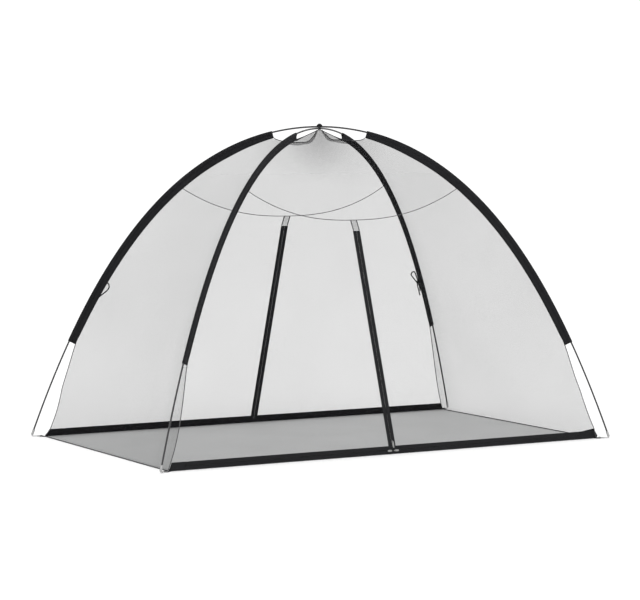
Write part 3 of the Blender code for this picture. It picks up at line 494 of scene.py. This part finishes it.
class Ridge:
    """The canopy's bound edge under a sleeve, from the crown to the floor's corner."""

    def __init__(self):
        steps = 6
        under = []
        for radius in np.linspace(SLEEVE_TOP + 0.002, SLEEVE_FOOT, 42):
            out = arch_normal(radius, HEIGHT)
            under.append((radius - out[0] * RIDGE_DEPTH, arch_height(radius, HEIGHT) - out[1] * RIDGE_DEPTH))
        foot, end = under[-1], (CORNER_RADIUS - 0.005, 0.0055)
        lower = [(mix(foot[0], end[0], a), mix(end[1], foot[1], b)) for a, b in FOOT_SHARES]
        line = through([(r, z, 0) for r, z in [*CROWN_LINE, *under, *lower, end]], steps)
        self.r = np.array([p.x for p in line])
        self.z = np.array([p.y for p in line])
        self.s = np.concatenate([[0], np.cumsum(np.hypot(np.diff(self.r), np.diff(self.z)))])
        self.length = float(self.s[-1])
        first, last = len(CROWN_LINE), len(CROWN_LINE) + len(under) - 1
        self.under = float(self.s[first * steps]), float(self.s[last * steps])
        self.taut = (RIDGE_TOP, under[0][0]), (PEAK, under[0][1])

    def at(self, length):
        """Radius and height at a length from the ridge's top."""
        return float(np.interp(length, self.s, self.r)), float(np.interp(length, self.s, self.z))

    def point(self, corner, length):
        """A point on one corner's ridge. Under the lower pole it is taut from the peak to the sleeve."""
        r, z = self.at(length)
        if is_taut(corner):
            z = max(z, float(np.interp(r, *self.taut, right=0)))
        else:
            slack = CROWN_SLACK * corner[0] * float(np.interp(r, (RIDGE_TOP, 0.03, 0.12, 0.17), (0, 1, 1, 0)))
            z += self.lift(corner, r) + slack
        return at_corner(corner, r + float(np.interp(z, *FOOT_SLACK[corner], right=0)), z)

    def lift(self, corner, radius):
        """How much higher than the lower pole's a ridge under the upper pole lies near the crown."""
        if is_taut(corner):
            return 0.0
        stops = (RIDGE_TOP, 0.05, SLEEVE_TOP, SLEEVE_TOP + LIFT_REACH)
        return float(np.interp(radius, stops, (0, RIDGE_LIFT, RIDGE_LIFT, 0)))

    def at_radius(self, radius):
        """The ridge's length from its top to a radius."""
        return float(np.interp(radius, self.r, self.s))

    def at_height(self, height):
        """The ridge's length from its top to a height below the crown."""
        start = int(np.argmax(self.r > 0.1))
        return float(np.interp(-height, -self.z[start:], self.s[start:]))

    def inset(self, corner, length, run):
        """How far a row that runs along run stops short of the ridge."""
        step = 0.002
        way = self.point(corner, min(length + step, self.length)) - self.point(corner, max(length - step, 0))
        lean = run.normalized().dot(way.normalized())
        return NET_EDGE / math.sqrt(max(1 - lean**2, 0.05))


RIDGE = Ridge()


def make_pole(name, side):
    """One pole from foot to foot with its ferrules, and the cord through it."""
    crossing = CROSSING[name]
    radii = np.linspace(-FOOT_RADIUS, FOOT_RADIUS, 1601)
    line = even([(r, arch_height(abs(r), crossing)) for r in radii], 421)
    steps = lengths(line)
    total = sum(steps)
    route, widths, core = [], [], []
    for k, (r, z) in enumerate(line):
        place = sum(steps[:k])
        near = min(abs(place - total * j / SECTIONS) for j in range(1, SECTIONS))
        if TUBE_INSET <= place <= total - TUBE_INSET:
            route.append(at_corner(side, r, z))
            widths.append(FERRULE_WIDTH if near < FERRULE_REACH else 1)
        if ELASTIC_INSET <= place <= total - ELASTIC_INSET:
            core.append(at_corner(side, r, z))
    wire(f"{name}_pole_tube", route, POLE / 2, FIBREGLASS, [f"{name}_pole"], widths=widths)
    wire(f"{name}_pole_cord", core[::4], 0.0011, ELASTIC, [f"{name}_pole_shock_cord"], sides=8)


def sleeve_section():
    """Half of the sleeve's section as (side, out), from its edge up over the pole."""
    leg = [(0.0008, -SLEEVE_EDGE), (0.0009, -0.024), (0.0008, -0.0195), (0.0008, -0.0165), (0.0011, -0.0140)]
    leg += [(0.0024, -0.0108), (0.0041, -0.0072), (0.0053, -0.0036)]
    turns = [math.pi / 2 * k / 5 for k in range(6)]
    return leg + [(SLEEVE_BEND * math.cos(a), SLEEVE_BEND * math.sin(a)) for a in turns]


def make_sleeve(where, corner):
    """A strip of cloth folded round the pole and sewn on the ridge, and the ridge's bindings."""
    crossing = CROSSING[POLES[where]]
    half = sleeve_section()
    section = half + [(-x, y) for x, y in reversed(half[:-1])]
    across = Vector((-corner[1] * DIAGONAL.y, corner[0] * DIAGONAL.x, 0))
    spread = np.concatenate([[0], np.cumsum(lengths(section))])
    spread = np.minimum(spread, spread[-1] - spread)
    stations = even([(r, arch_height(r, crossing)) for r in np.linspace(SLEEVE_TOP, SLEEVE_FOOT, 400)], 121)
    rows = []
    for k, (r, z) in enumerate(stations):
        out_r, out_z = arch_normal(r, crossing)
        ripple = 0.0005 * math.sin(k * 0.9 + corner[0]) * math.sin(k * 0.23 + corner[1])
        mean_r, mean_z = arch_normal(r, HEIGHT)
        pole = at_corner(corner, r, z)
        foot_r, foot_z = r - mean_r * RIDGE_DEPTH, arch_height(r, HEIGHT) - mean_z * RIDGE_DEPTH
        ridge = at_corner(corner, foot_r, foot_z + RIDGE.lift(corner, foot_r))
        reach = 1 - 0.0008 / (ridge - pole).length
        row = []
        for side, out in section:
            low = min(1.0, max(0.0, -out / SLEEVE_EDGE))
            wave = ripple * math.sin(math.pi * low) * (0.5 if side > 0 else -0.4)
            spot = pole + at_corner(corner, out_r * out, out_z * out)
            if out < 0:
                spot = mix(pole, ridge, low * reach)
            row.append(spot + across * (side + wave))
        rows.append(row)
    name, nodes = f"sleeve_cloth_{where}", [f"sleeve_{where}"]
    sleeve = grid(name, rows, SLEEVE, nodes=nodes, across=spread, thickness=SLEEVE_CLOTH)
    start, end = RIDGE.under
    dark = start if is_taut(corner) else RIDGE.at_radius(RIM_START)
    parts = [("crown", 0.0, dark, DARK_BINDING), ("sleeve", start, end, SLEEVE)]
    parts += [("foot", end, RIDGE.length, BINDING)]
    if not is_taut(corner):
        parts.append(("rim", dark, start, BINDING))
    for part, low, high, material in parts:
        stops = np.linspace(low, high, 60)
        route = [RIDGE.point(corner, s) for s in stops]
        widths = [1] * len(stops)
        if part == "crown" and is_taut(corner):
            widths = [1 + 1.5 * max(0, 1 - (high - s) / 0.07) for s in stops]
        wire(f"ridge_{part}_{where}", route, RIDGE_WIRE, material, sides=8, widths=widths)


# Net panels


def seam_point(side, u):
    """A point on the seam between a roof and its door, u from -1 to 1 along it."""
    end = RIDGE.point((1, side), RIDGE.at_radius(SEAM_RADIUS))
    rise = abs(u) ** SEAM_POWER
    return Vector((u * end.x, mix(side * SEAM_SIDE, end.y, rise), mix(SEAM_HEIGHT, end.z, rise)))


def roof_spot(side, share):
    """A point down a roof's middle, by its share of the way from the crown to the seam."""
    top = HEIGHT - 0.080
    fall = (top - SEAM_HEIGHT) * (0.45 * share + 0.55 * share**2)
    peak = max(0, 1 - share / 0.3) ** 2 * (PEAK - top)
    return Vector((0, side * SEAM_SIDE * share, top - fall + peak))


def make_roof(name, side):
    """A roof panel between two ridges, from the crown to its seam."""
    seam = RIDGE.at_radius(SEAM_RADIUS)
    first = RIDGE.at_radius(NET_TOP)
    rows = []
    for s in np.concatenate([np.linspace(first, 0.2, 14)[:-1], np.linspace(0.2, seam, 26)]):
        row = []
        for u in np.linspace(-1, 1, 49):
            hand = 1 if u > 0 else -1
            end = RIDGE.point((hand, side), s)
            middle = roof_spot(side, s / seam)
            rise = abs(u) ** SEAM_POWER
            spot = Vector((abs(u) * end.x, mix(middle.y, end.y, rise), mix(middle.z, end.z, rise)))
            run = end - middle
            row.append(mix(middle, spot, 1 - RIDGE.inset((hand, side), s, run) / run.length))
        rows.append(row)
    return grid(f"net_{name}", rows, NET_ROOF, nodes=[name])


def make_end_wall(name, side):
    """A short end wall from the crown to the floor."""
    first = RIDGE.at_radius(NET_TOP)
    rows = []
    step = 0.05
    for s in np.concatenate([np.linspace(first, 0.2, 14)[:-1], np.linspace(0.2, RIDGE.length, 60)]):
        above, below = RIDGE.at(max(s - step, 0)), RIDGE.at(min(s + step, RIDGE.length))
        fall = Vector(((below[0] - above[0]) * DIAGONAL.x, 0, below[1] - above[1])).normalized()
        row = []
        for u in np.linspace(-1, 1, 41):
            hand = 1 if u > 0 else -1
            end = RIDGE.point((side, hand), s)
            end.x *= side
            level = RIDGE.point((side, -side), s).z
            sag = 0.2 * abs(end.y) * level / HEIGHT
            middle = Vector((end.x, 0, level)) + Vector((fall.z, 0, -fall.x)) * sag
            rise = abs(u) ** WALL_POWER
            spot = Vector((mix(middle.x, end.x, rise), abs(u) * end.y, mix(middle.z, end.z, rise)))
            run = end - middle
            spot = mix(middle, spot, 1 - RIDGE.inset((1, hand), s, run) / run.length)
            row.append(Vector((side * spot.x, spot.y, spot.z)))
        rows.append(row)
    return grid(f"net_{name}", rows, NET_END, nodes=[name])


class Door:
    """The plane of one long side's door; x runs to the viewer's right and w up."""

    def __init__(self, side):
        self.side = side
        self.name = "front" if side < 0 else "back"
        self.foot = Vector((0, side * (HALF_WIDTH - TAPE), TAPE / 2))
        top = Vector((0, side * ZIP_TOP_SIDE, ZIP_TOP_HEIGHT))
        self.up = (top - self.foot).normalized()
        self.top = (top - self.foot).length
        self.along = Vector((-side, 0, 0))
        self.out = self.along.cross(self.up)
        self.matrix = frame_matrix(self.foot, self.along, self.up)

    def point(self, x, w, out=0.0):
        """A point in the tent's frame from the door's x, w and way out."""
        return self.foot + self.along * x + self.up * w + self.out * out

    def hand_name(self, hand):
        return "right" if hand * self.along.x > 0 else "left"

    def fold(self, hand):
        """Top and foot of the line that a flap folds about."""
        return Vector((hand * EDGE, self.top)), Vector((hand * ZIP_END, BAND / 2))


def make_door_net(door, hand):
    """One half of a door: fixed net beside the fold and the flap's net, in one sheet."""
    hand_name = door.hand_name(hand)
    body = f"{door.name}_flap_{hand_name}"
    way = hand * door.along.x
    corner = (way, door.side)
    top, foot = door.fold(hand)
    run = (foot - top).normalized()
    lowest = foot + run * ((BAND - foot.y + 2 * GAP) / run.y)
    first = RIDGE.at_radius(SEAM_RADIUS)
    last = RIDGE.at_height(door.point(*lowest).z)
    start_length = first + DOOR_START
    shape = bmesh.new()

    def lay(rows):
        """Quads between rows of points."""
        made = [[shape.verts.new(p) for p in row] for row in rows]
        for upper, under in zip(made, made[1:]):
            for j in range(len(upper) - 1):
                shape.faces.new((upper[j], upper[j + 1], under[j + 1], under[j]))

    def side_row(start, end, length):
        """A row of the fixed net from the fold to the ridge."""
        reach = 1 - RIDGE.inset(corner, length, end - start) / (end - start).length
        across = Vector(((end - start).x, 0, 0))
        rise = end - start - across
        return [mix(start, start + across * c + rise * c**1.6, reach) for c in np.linspace(0, 1, 21)]

    folds, sides = [], []
    for share in np.linspace(0, 1, 41):
        spot = mix(top, lowest, float(share))
        length = mix(start_length, last, float(share))
        folds.append(spot)
        sides.append(side_row(door.point(*spot), RIDGE.point(corner, length), length))
    seam_end = RIDGE.point(corner, first)
    reach = 1 - RIDGE.inset(corner, first, seam_end - seam_point(door.side, 0)) / abs(seam_end.x)
    inner = EDGE / abs(seam_end.x)
    down = (door.point(0, door.top) - seam_point(door.side, 0)).normalized() * SEAM_DROP
    seam_row = [seam_point(door.side, way * mix(inner, reach, c)) + down for c in np.linspace(0, 1, 21)]
    above = [[mix(a, b, float(c)) for a, b in zip(seam_row, sides[0])] for c in np.linspace(0, 1, 5)[:-1]]
    lay(above + sides)
    edge = hand * EDGE
    lay([[door.point(mix(spot.x, edge, float(c)), spot.y) for c in np.linspace(0, 1, 21)] for spot in folds])
    bmesh.ops.remove_doubles(shape, verts=shape.verts, dist=0.0001)
    bmesh.ops.recalc_face_normals(shape, faces=shape.faces)
    layer = shape.loops.layers.uv.new("UVMap")
    for face in shape.faces:
        face.smooth = True
        for loop in face.loops:
            offset = loop.vert.co - door.foot
            loop[layer].uv = (offset.dot(door.along), offset.dot(door.up))
    area = sum(face.calc_area() for face in shape.faces)
    mesh = bpy.data.meshes.new(body)
    shape.to_mesh(mesh)
    shape.free()
    obj = bpy.data.objects.new(f"net_{door.name}_door_{hand_name}", mesh)
    finished(obj, NET, None, [f"{door.name}_door_side_{hand_name}", f"{body}_net"])
    normal = Vector((-run.y, run.x))
    if normal.dot(Vector((edge, BAND)) - top) < 0:
        normal = -normal
    middle = mix(top, foot, 0.5)
    ends = [door.point(*(middle + normal * off)) for off in (-FOLD_BLEND, FOLD_BLEND)]
    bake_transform(obj)
    area = min(area, DOOR_FLAT[0] * DOOR_FLAT[1])


def make_tape(door, hand):
    """A flap's two half tapes, up its free edge and along its hem, with the zip's coil on them."""
    body = f"{door.name}_flap_{door.hand_name(hand)}"
    top, foot = door.fold(hand)
    slope = (foot.x - top.x) / (foot.y - top.y)
    low = BAND / 2 + TAPE_GAP / 2

    def fold_x(w):
        return top.x + (w - top.y) * slope

    inner, outer, high = hand * TAPE_GAP / 2, hand * BAND / 2, door.top - GAP
    outline = [(inner, low), (outer, low), (outer, high), (inner, high)]
    nodes = [f"{body}_zip_tape"]
    plate(f"{body}_tape", outline, TAPE, door.matrix, ZIP_TAPE, "zip_tape", body, nodes, endwise=True)
    start = hand * (BAND / 2 + 0.0001)
    outline = [(start, low), (fold_x(low), low), (fold_x(BAND), BAND), (start, BAND)]
    plate(f"{body}_hem_tape", outline, TAPE, door.matrix, HEM, "zip_tape", body)
    beside = hand * 0.0017
    coil(f"{body}_coil", door, (beside, low), (beside, door.top - COIL_INSET), body)
    level = low + COIL_OFFSET
    coil(f"{body}_hem_coil", door, (hand * COIL_INSET, level), (hand * (ZIP_END - COIL_INSET), level), body)


def coil(name, door, start, end, body):
    """Half of a zip's coil along a line on the door, on its outer face."""
    start, end = Vector(start), Vector(end)
    count = 60
    way = (end - start).normalized()
    side = Vector((-way.y, way.x))
    turns = [math.pi * k / 6 for k in range(7)]
    profile = [(0.0012 * math.cos(a), 0.0009 * math.sin(a)) for a in turns]
    rows = []
    for k in range(count + 1):
        spot = mix(start, end, k / count)
        rows.append([door.point(*(spot + side * x), TAPE / 2 + 0.0001 + h) for x, h in profile])
    grid(name, rows, COIL, body, across=[p[0] for p in profile])


def make_hem(door):
    """The hem band, its ends cut along the ridges, with a guard behind it and the hem zip's lower half."""
    low = BAND / 2 - TAPE_GAP / 2
    past = ZIP_END - 0.0085
    notch = ZIP_END + 0.0016
    ends = {}
    for hand in (-1, 1):
        pulled_hem_or_ridge_shade = (hand * door.along.x, door.side) == CORNERS["front_right"]
        insets, rise = PULLED_HEM_END if pulled_hem_or_ridge_shade else HEM_END
        shoulder, top, knee, foot = (hand * (HALF_LENGTH - inset) for inset in (HEM_SHOULDER, *insets))
        ends[hand] = [(foot, 0.0004), (knee, HEM_KNEE), (top, BAND + rise), (shoulder, BAND)]
    outline = [*ends[1], (past, BAND), (notch, low), (-notch, low), (-past, BAND), *reversed(ends[-1])]
    nodes = [f"{door.name}_hem_band"]
    plate(f"{door.name}_hem", outline, TAPE, door.matrix, HEM, "black_cloth", "root", nodes)
    high, brim = BAND - 0.0004, low + 0.0045
    right = [(notch + 0.003, low - 0.004), (notch + 0.003, high), (past - 0.008, high), (notch - 0.010, brim)]
    guard = right + [(-x, w) for x, w in reversed(right)]
    behind = door.matrix @ Matrix.Translation((0, 0, -TAPE))
    plate(f"{door.name}_hem_guard", guard, TRIM, behind, HEM, "black_cloth")
    end, level = ZIP_END - COIL_INSET, low - COIL_OFFSET
    coil(f"{door.name}_hem_coil", door, (-end, level), (end, level), "root")


def make_patch(door):
    """The translucent patch over the zip's top, with a folded border down each side."""
    low = door.point(0, door.top + GAP)
    high = seam_point(door.side, 0)
    up = (high - low).normalized()
    length = (high - low).length - 0.002
    half = BAND / 2 - GAP
    matrix = frame_matrix(low, door.along, up)
    outline = [(-half, GAP), (half, GAP), (half, length), (-half, length)]
    plate(f"{door.name}_patch", outline, TRIM, matrix, PATCH, "patch", "root", [f"{door.name}_zip_patch"])
    for hand in (-1, 1):
        outer, inner = hand * half, hand * (half - 0.005)
        border = [(outer, GAP), (inner, GAP), (inner, length), (outer, length)]
        raised = matrix @ Matrix.Translation((0, 0, 0.0009))
        plate(f"{door.name}_patch_border_{hand + 1}", border, TRIM, raised, BINDING, "patch")


def make_door(side):
    """One long side's door with its hem, patch, flaps and the seam above it."""
    door = Door(side)
    make_hem(door)
    make_patch(door)
    for hand in (-1, 1):
        make_door_net(door, hand)
        make_tape(door, hand)
    route = [seam_point(side, u) for u in np.linspace(-0.997, 0.997, 81)]
    wire(f"seam_binding_{door.name}", route, SEAM_WIRE, BINDING, nodes=[f"seam_{door.name}"], sides=8)


def make_floor():
    """The floor sheet with clipped corners, and the bindings of its short sides."""
    x_half, y_half = HALF_LENGTH - 0.0053, HALF_WIDTH - 2 * TAPE - GAP
    at_side = (FLOOR_CUT - y_half * DIAGONAL.y) / DIAGONAL.x
    at_end = (FLOOR_CUT - x_half * DIAGONAL.x) / DIAGONAL.y
    rows = []
    for y in np.concatenate([[-y_half], np.linspace(-at_end, at_end, 31), [y_half]]):
        reach = at_side if abs(y) > at_end + 0.0001 else x_half
        rows.append([Vector((x, y, TRIM)) for x in np.linspace(-reach, reach, 61)])
    floor = grid("floor_sheet", rows, FLOOR, nodes=["floor"], thickness=TRIM)
    for side, name in ((-1, "left"), (1, "right")):
        inner, outer, reach = HALF_LENGTH - 0.005, HALF_LENGTH, at_end - 0.004
        outline = [(inner, -reach), (outer, -reach), (outer, reach), (inner, reach)]
        outline = [(side * x, y) for x, y in outline]
        piece = f"end_binding_{name}", outline, 0.0038, Matrix.Translation((0, 0, 0.002))
        plate(*piece, BINDING, "binding", "root", [f"side_binding_{name}"], bevel=0.0012, endwise=True)


def turned(name, profile, base, up, material, nodes=()):
    """A turned piece from its (radius, height) outline, standing at base along up."""
    mesh = bpy.data.meshes.new(name)
    shape = bmesh.new()
    verts = [shape.verts.new((r, 0, z)) for r, z in profile]
    edges = [shape.edges.new((a, b)) for a, b in zip(verts, verts[1:] + verts[:1])]
    turn = {"axis": (0, 0, 1), "cent": (0, 0, 0), "angle": 2 * math.pi, "steps": 28, "use_merge": True}
    bmesh.ops.spin(shape, geom=verts + edges, **turn)
    bmesh.ops.recalc_face_normals(shape, faces=shape.faces)
    shape.to_mesh(mesh)
    shape.free()
    mesh.shade_smooth()
    mesh.set_sharp_from_angle(angle=math.radians(50))
    mesh.transform(Matrix.Translation(base) @ up.to_track_quat("Z", "Y").to_matrix().to_4x4())
    return finished(bpy.data.objects.new(name, mesh), material, "root", nodes)


def make_corner(where, corner):
    """The pole's tip, the wire pin with its ring, and the webbing tab on the floor's corner."""
    crossing = CROSSING[POLES[where]]
    base = at_corner(corner, FOOT_RADIUS, 0)
    inner = FOOT_RADIUS - 0.012
    up = (at_corner(corner, inner, arch_height(inner, crossing)) - base).normalized()
    hole, bore, outer, groove = 0.0021, 0.0041, 0.0052, 0.0048
    profile = [(hole, 0), (hole, 0.003), (bore, 0.003), (bore, 0.024), (groove, 0.024), (outer, 0.0234)]
    profile += [(outer, 0.0050), (groove, 0.0045), (outer, 0.0040), (outer, 0.0008), (outer - 0.0008, 0)]
    turned(f"tip_{where}", profile, base + up * 0.0075, up, STEEL, [f"pole_tip_{where}"])
    inward = -at_corner(corner, 1, 0)
    across = Vector((0, 0, 1)).cross(inward)
    knee = base + up * (RING_HEIGHT / up.z)
    above, beyond = knee + up * 0.004, knee + inward * 0.004
    bend = [mix(mix(above, knee, s), mix(knee, beyond, s), s) for s in np.linspace(0, 1, 9)]
    middle = at_corner(corner, RING_RADIUS, RING_HEIGHT)
    ring = []
    for k in range(41):
        angle = mix(math.radians(22), math.radians(348), k / 40)
        ring.append(middle - inward * (0.0095 * math.cos(angle)) + across * (0.0095 * math.sin(angle)))
    route = [base + up * 0.0265, *bend, middle - inward * 0.0145, *ring]
    wire(f"pin_{where}", route, 0.0015, STEEL, [f"corner_pin_{where}"])
    fold = RING_RADIUS - 0.0041
    low, turn = 0.0005, 0.0023
    start = CORNER_RADIUS - 0.0087
    section = [(start, low), (fold - turn - 0.003, low)]
    for a in np.linspace(-math.pi / 2, math.pi / 2, 13):
        section.append((fold - turn + turn * math.cos(a), low + turn + turn * math.sin(a)))
    section += [(RING_RADIUS - 0.0125, low + 2 * turn - 0.0001), (RING_RADIUS - 0.0150, 0.0030)]
    section += [(start, 0.0018)]
    side = Vector((-corner[1] * DIAGONAL.y, corner[0] * DIAGONAL.x, 0))
    spread = np.linspace(-0.006, 0.006, 7)
    rows = [[at_corner(corner, r, z) + side * float(x) for x in spread] for r, z in section]
    nodes = [f"corner_tab_{where}"]
    grid(f"tab_{where}", rows, WEBBING, nodes=nodes, across=spread, thickness=0.0009)


def make_crown():
    """The cord that ties the poles, its knot, and the cap that gathers the canopy."""
    cord = 0.0012
    top = HEIGHT + POLE + 0.0009 + cord
    half = POLE / 2 / DIAGONAL.x + 0.0006 + cord
    middle, reach, spread = (top + PEAK) / 2, (top - PEAK) / 2, 0.0014
    for k, hand in enumerate((-1, 1)):
        loop = []
        for step in range(48):
            angle = 2 * math.pi * step / 48
            side = max(-1, min(1, math.cos(angle) * 1.6))
            place = spread * math.sin(angle) + hand * spread
            loop.append(Vector((place, half * side, middle + reach * math.sin(angle))))
        nodes = ["crown_tie"] if not k else ()
        wire(f"crown_loop_{k}", loop, cord, CORD, nodes, closed=True, sides=8)
    knot = []
    for step in range(72):
        angle = 2 * math.pi * step / 72
        rise = math.sin(3 * angle)
        radius, level = 0.0062 - 0.0036 * rise, top + 0.0022 + 0.0026 * rise
        knot.append(Vector((radius * math.cos(2 * angle), radius * math.sin(2 * angle), level)))
    wire("crown_knot", knot, 0.0030, CORD, closed=True, sides=8)
    profile = [(0.0002, -0.0013), (0.0095, -0.0013), (0.0100, -0.0009)]
    profile += [(0.0060, 0.0010), (0.0040, 0.0013), (0.0002, 0.0013)]
    turned("crown_cap", profile, Vector((0, 0, PEAK)), Vector((0, 0, 1)), CORD)


# The tie-backs' cords as (height, distance from the ridge towards the tent's middle)
TIE_LOOPS = {
    "left": (
        *((0.652, 0), (0.650, 0.008), (0.641, 0.018), (0.630, 0.0245)),
        *((0.618, 0.022), (0.606, 0.013), (0.590, 0)),
    ),
    "right": (
        *((0.606, 0.0095), (0.6226, 0.0190), (0.6391, 0.0279), (0.6467, 0.0262), (0.6537, 0.0188)),
        *((0.6558, 0.0102), (0.6519, 0.0051), (0.629, 0.0027), (0.606, 0.0003)),
    ),
}
TIE_TAILS = (
    ((0.607, 0.006), (0.590, 0.010), (0.568, 0.010), (0.546, 0.011)),
    ((0.607, 0.004), (0.586, 0.001), (0.566, 0.003)),
)


def tie_cord(name, points, nodes=()):
    """A short free cord of a tie-back, from where it leaves the ridge or the knot."""
    route = through(points, 6)
    cord = wire(name, route, TIE_RADIUS, TIE, nodes, sides=10)


def make_tie_back(name, side):
    """A cord loop on a back ridge to hold a rolled flap, the right one tied in a bow with two loose ends."""

    def spot(height, out, off=TIE_OFFSET):
        return RIDGE.point((side, 1), RIDGE.at_height(height)) + Vector((-side * out, off, 0))

    tie_cord(f"tie_loop_{name}", [spot(*p) for p in TIE_LOOPS[name]], [f"tie_back_{name}"])
    if name == "right":
        for k, tail in enumerate(TIE_TAILS):
            tie_cord(f"tie_tail_{k}", [spot(*p) for p in tail])
        knot, reach = [], 0.0022
        for k in range(24):
            a = 2 * math.pi * k / 24
            height, out = 0.606 + 0.0040 * math.cos(a), 0.005 + reach * math.sin(a)
            knot.append(spot(height, out, TIE_OFFSET + reach * math.sin(2 * a)))
        wire("tie_knot", knot, 0.0048, TIE, closed=True, sides=10)


def dress_nodes():
    """Gives the carried-over zip sliders their metal finish."""
    for name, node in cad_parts.items():
        if "slider" in name:
            node.data.materials.clear()
            node.data.materials.append(ZIP_METAL)


def make_studio():
    """A pale floor, even light and the camera."""
    mesh = bpy.data.meshes.new("studio_floor")
    reach = 60
    corners = [(-reach, -reach, 0), (reach, -reach, 0), (reach, reach, 0), (-reach, reach, 0)]
    mesh.from_pydata(corners, [], [(0, 1, 2, 3)])
    ground = bpy.data.objects.new("studio_floor", mesh)
    ground.location.z = -0.0004
    bpy.context.scene.collection.objects.link(ground)
    mesh.materials.append(Shader("studio_floor", (0.99, 0.99, 0.99), 0.9).material)
    world = bpy.data.worlds.new("studio")
    bpy.context.scene.world = world
    world.use_nodes = True
    world.node_tree.nodes["Background"].inputs[0].default_value = (1, 1, 1, 1)
    world.node_tree.nodes["Background"].inputs[1].default_value = 1.12
    for name, place, energy, size in (("key", (-5, -6, 6), 90, 5), ("fill", (6, -3, 5), 40, 5)):
        light = bpy.data.lights.new(name, "AREA")
        light.energy = energy
        light.size = size
        lamp = bpy.data.objects.new(name, light)
        lamp.location = place
        lamp.rotation_euler = (Vector((0, 0, 0.5)) - Vector(place)).to_track_quat("-Z", "Y").to_euler()
        bpy.context.scene.collection.objects.link(lamp)
    data = bpy.data.cameras.new("camera")
    data.lens = 132.1
    data.sensor_width = 36
    data.clip_end = 200
    camera = bpy.data.objects.new("camera", data)
    camera.location = (-4.864, -8.569, 1.2721)
    camera.rotation_euler = Vector((0.4926, 0.8674, -0.0699)).to_track_quat("-Z", "Y").to_euler()
    bpy.context.scene.collection.objects.link(camera)
    bpy.context.scene.camera = camera
    bpy.context.scene.view_settings.view_transform = "Standard"


make_studio()
for pole, side in (("lower", (1, 1)), ("upper", (1, -1))):
    make_pole(pole, side)
for where, corner in CORNERS.items():
    make_sleeve(where, corner)
    make_corner(where, corner)
for side in (-1, 1):
    roof = make_roof("roof_front" if side < 0 else "roof_back", side)
    make_door(side)
for side, name in ((-1, "end_wall_left"), (1, "end_wall_right")):
    wall = make_end_wall(name, side)
make_floor()
make_crown()
make_tie_back("left", -1)
make_tie_back("right", 1)
dress_nodes()
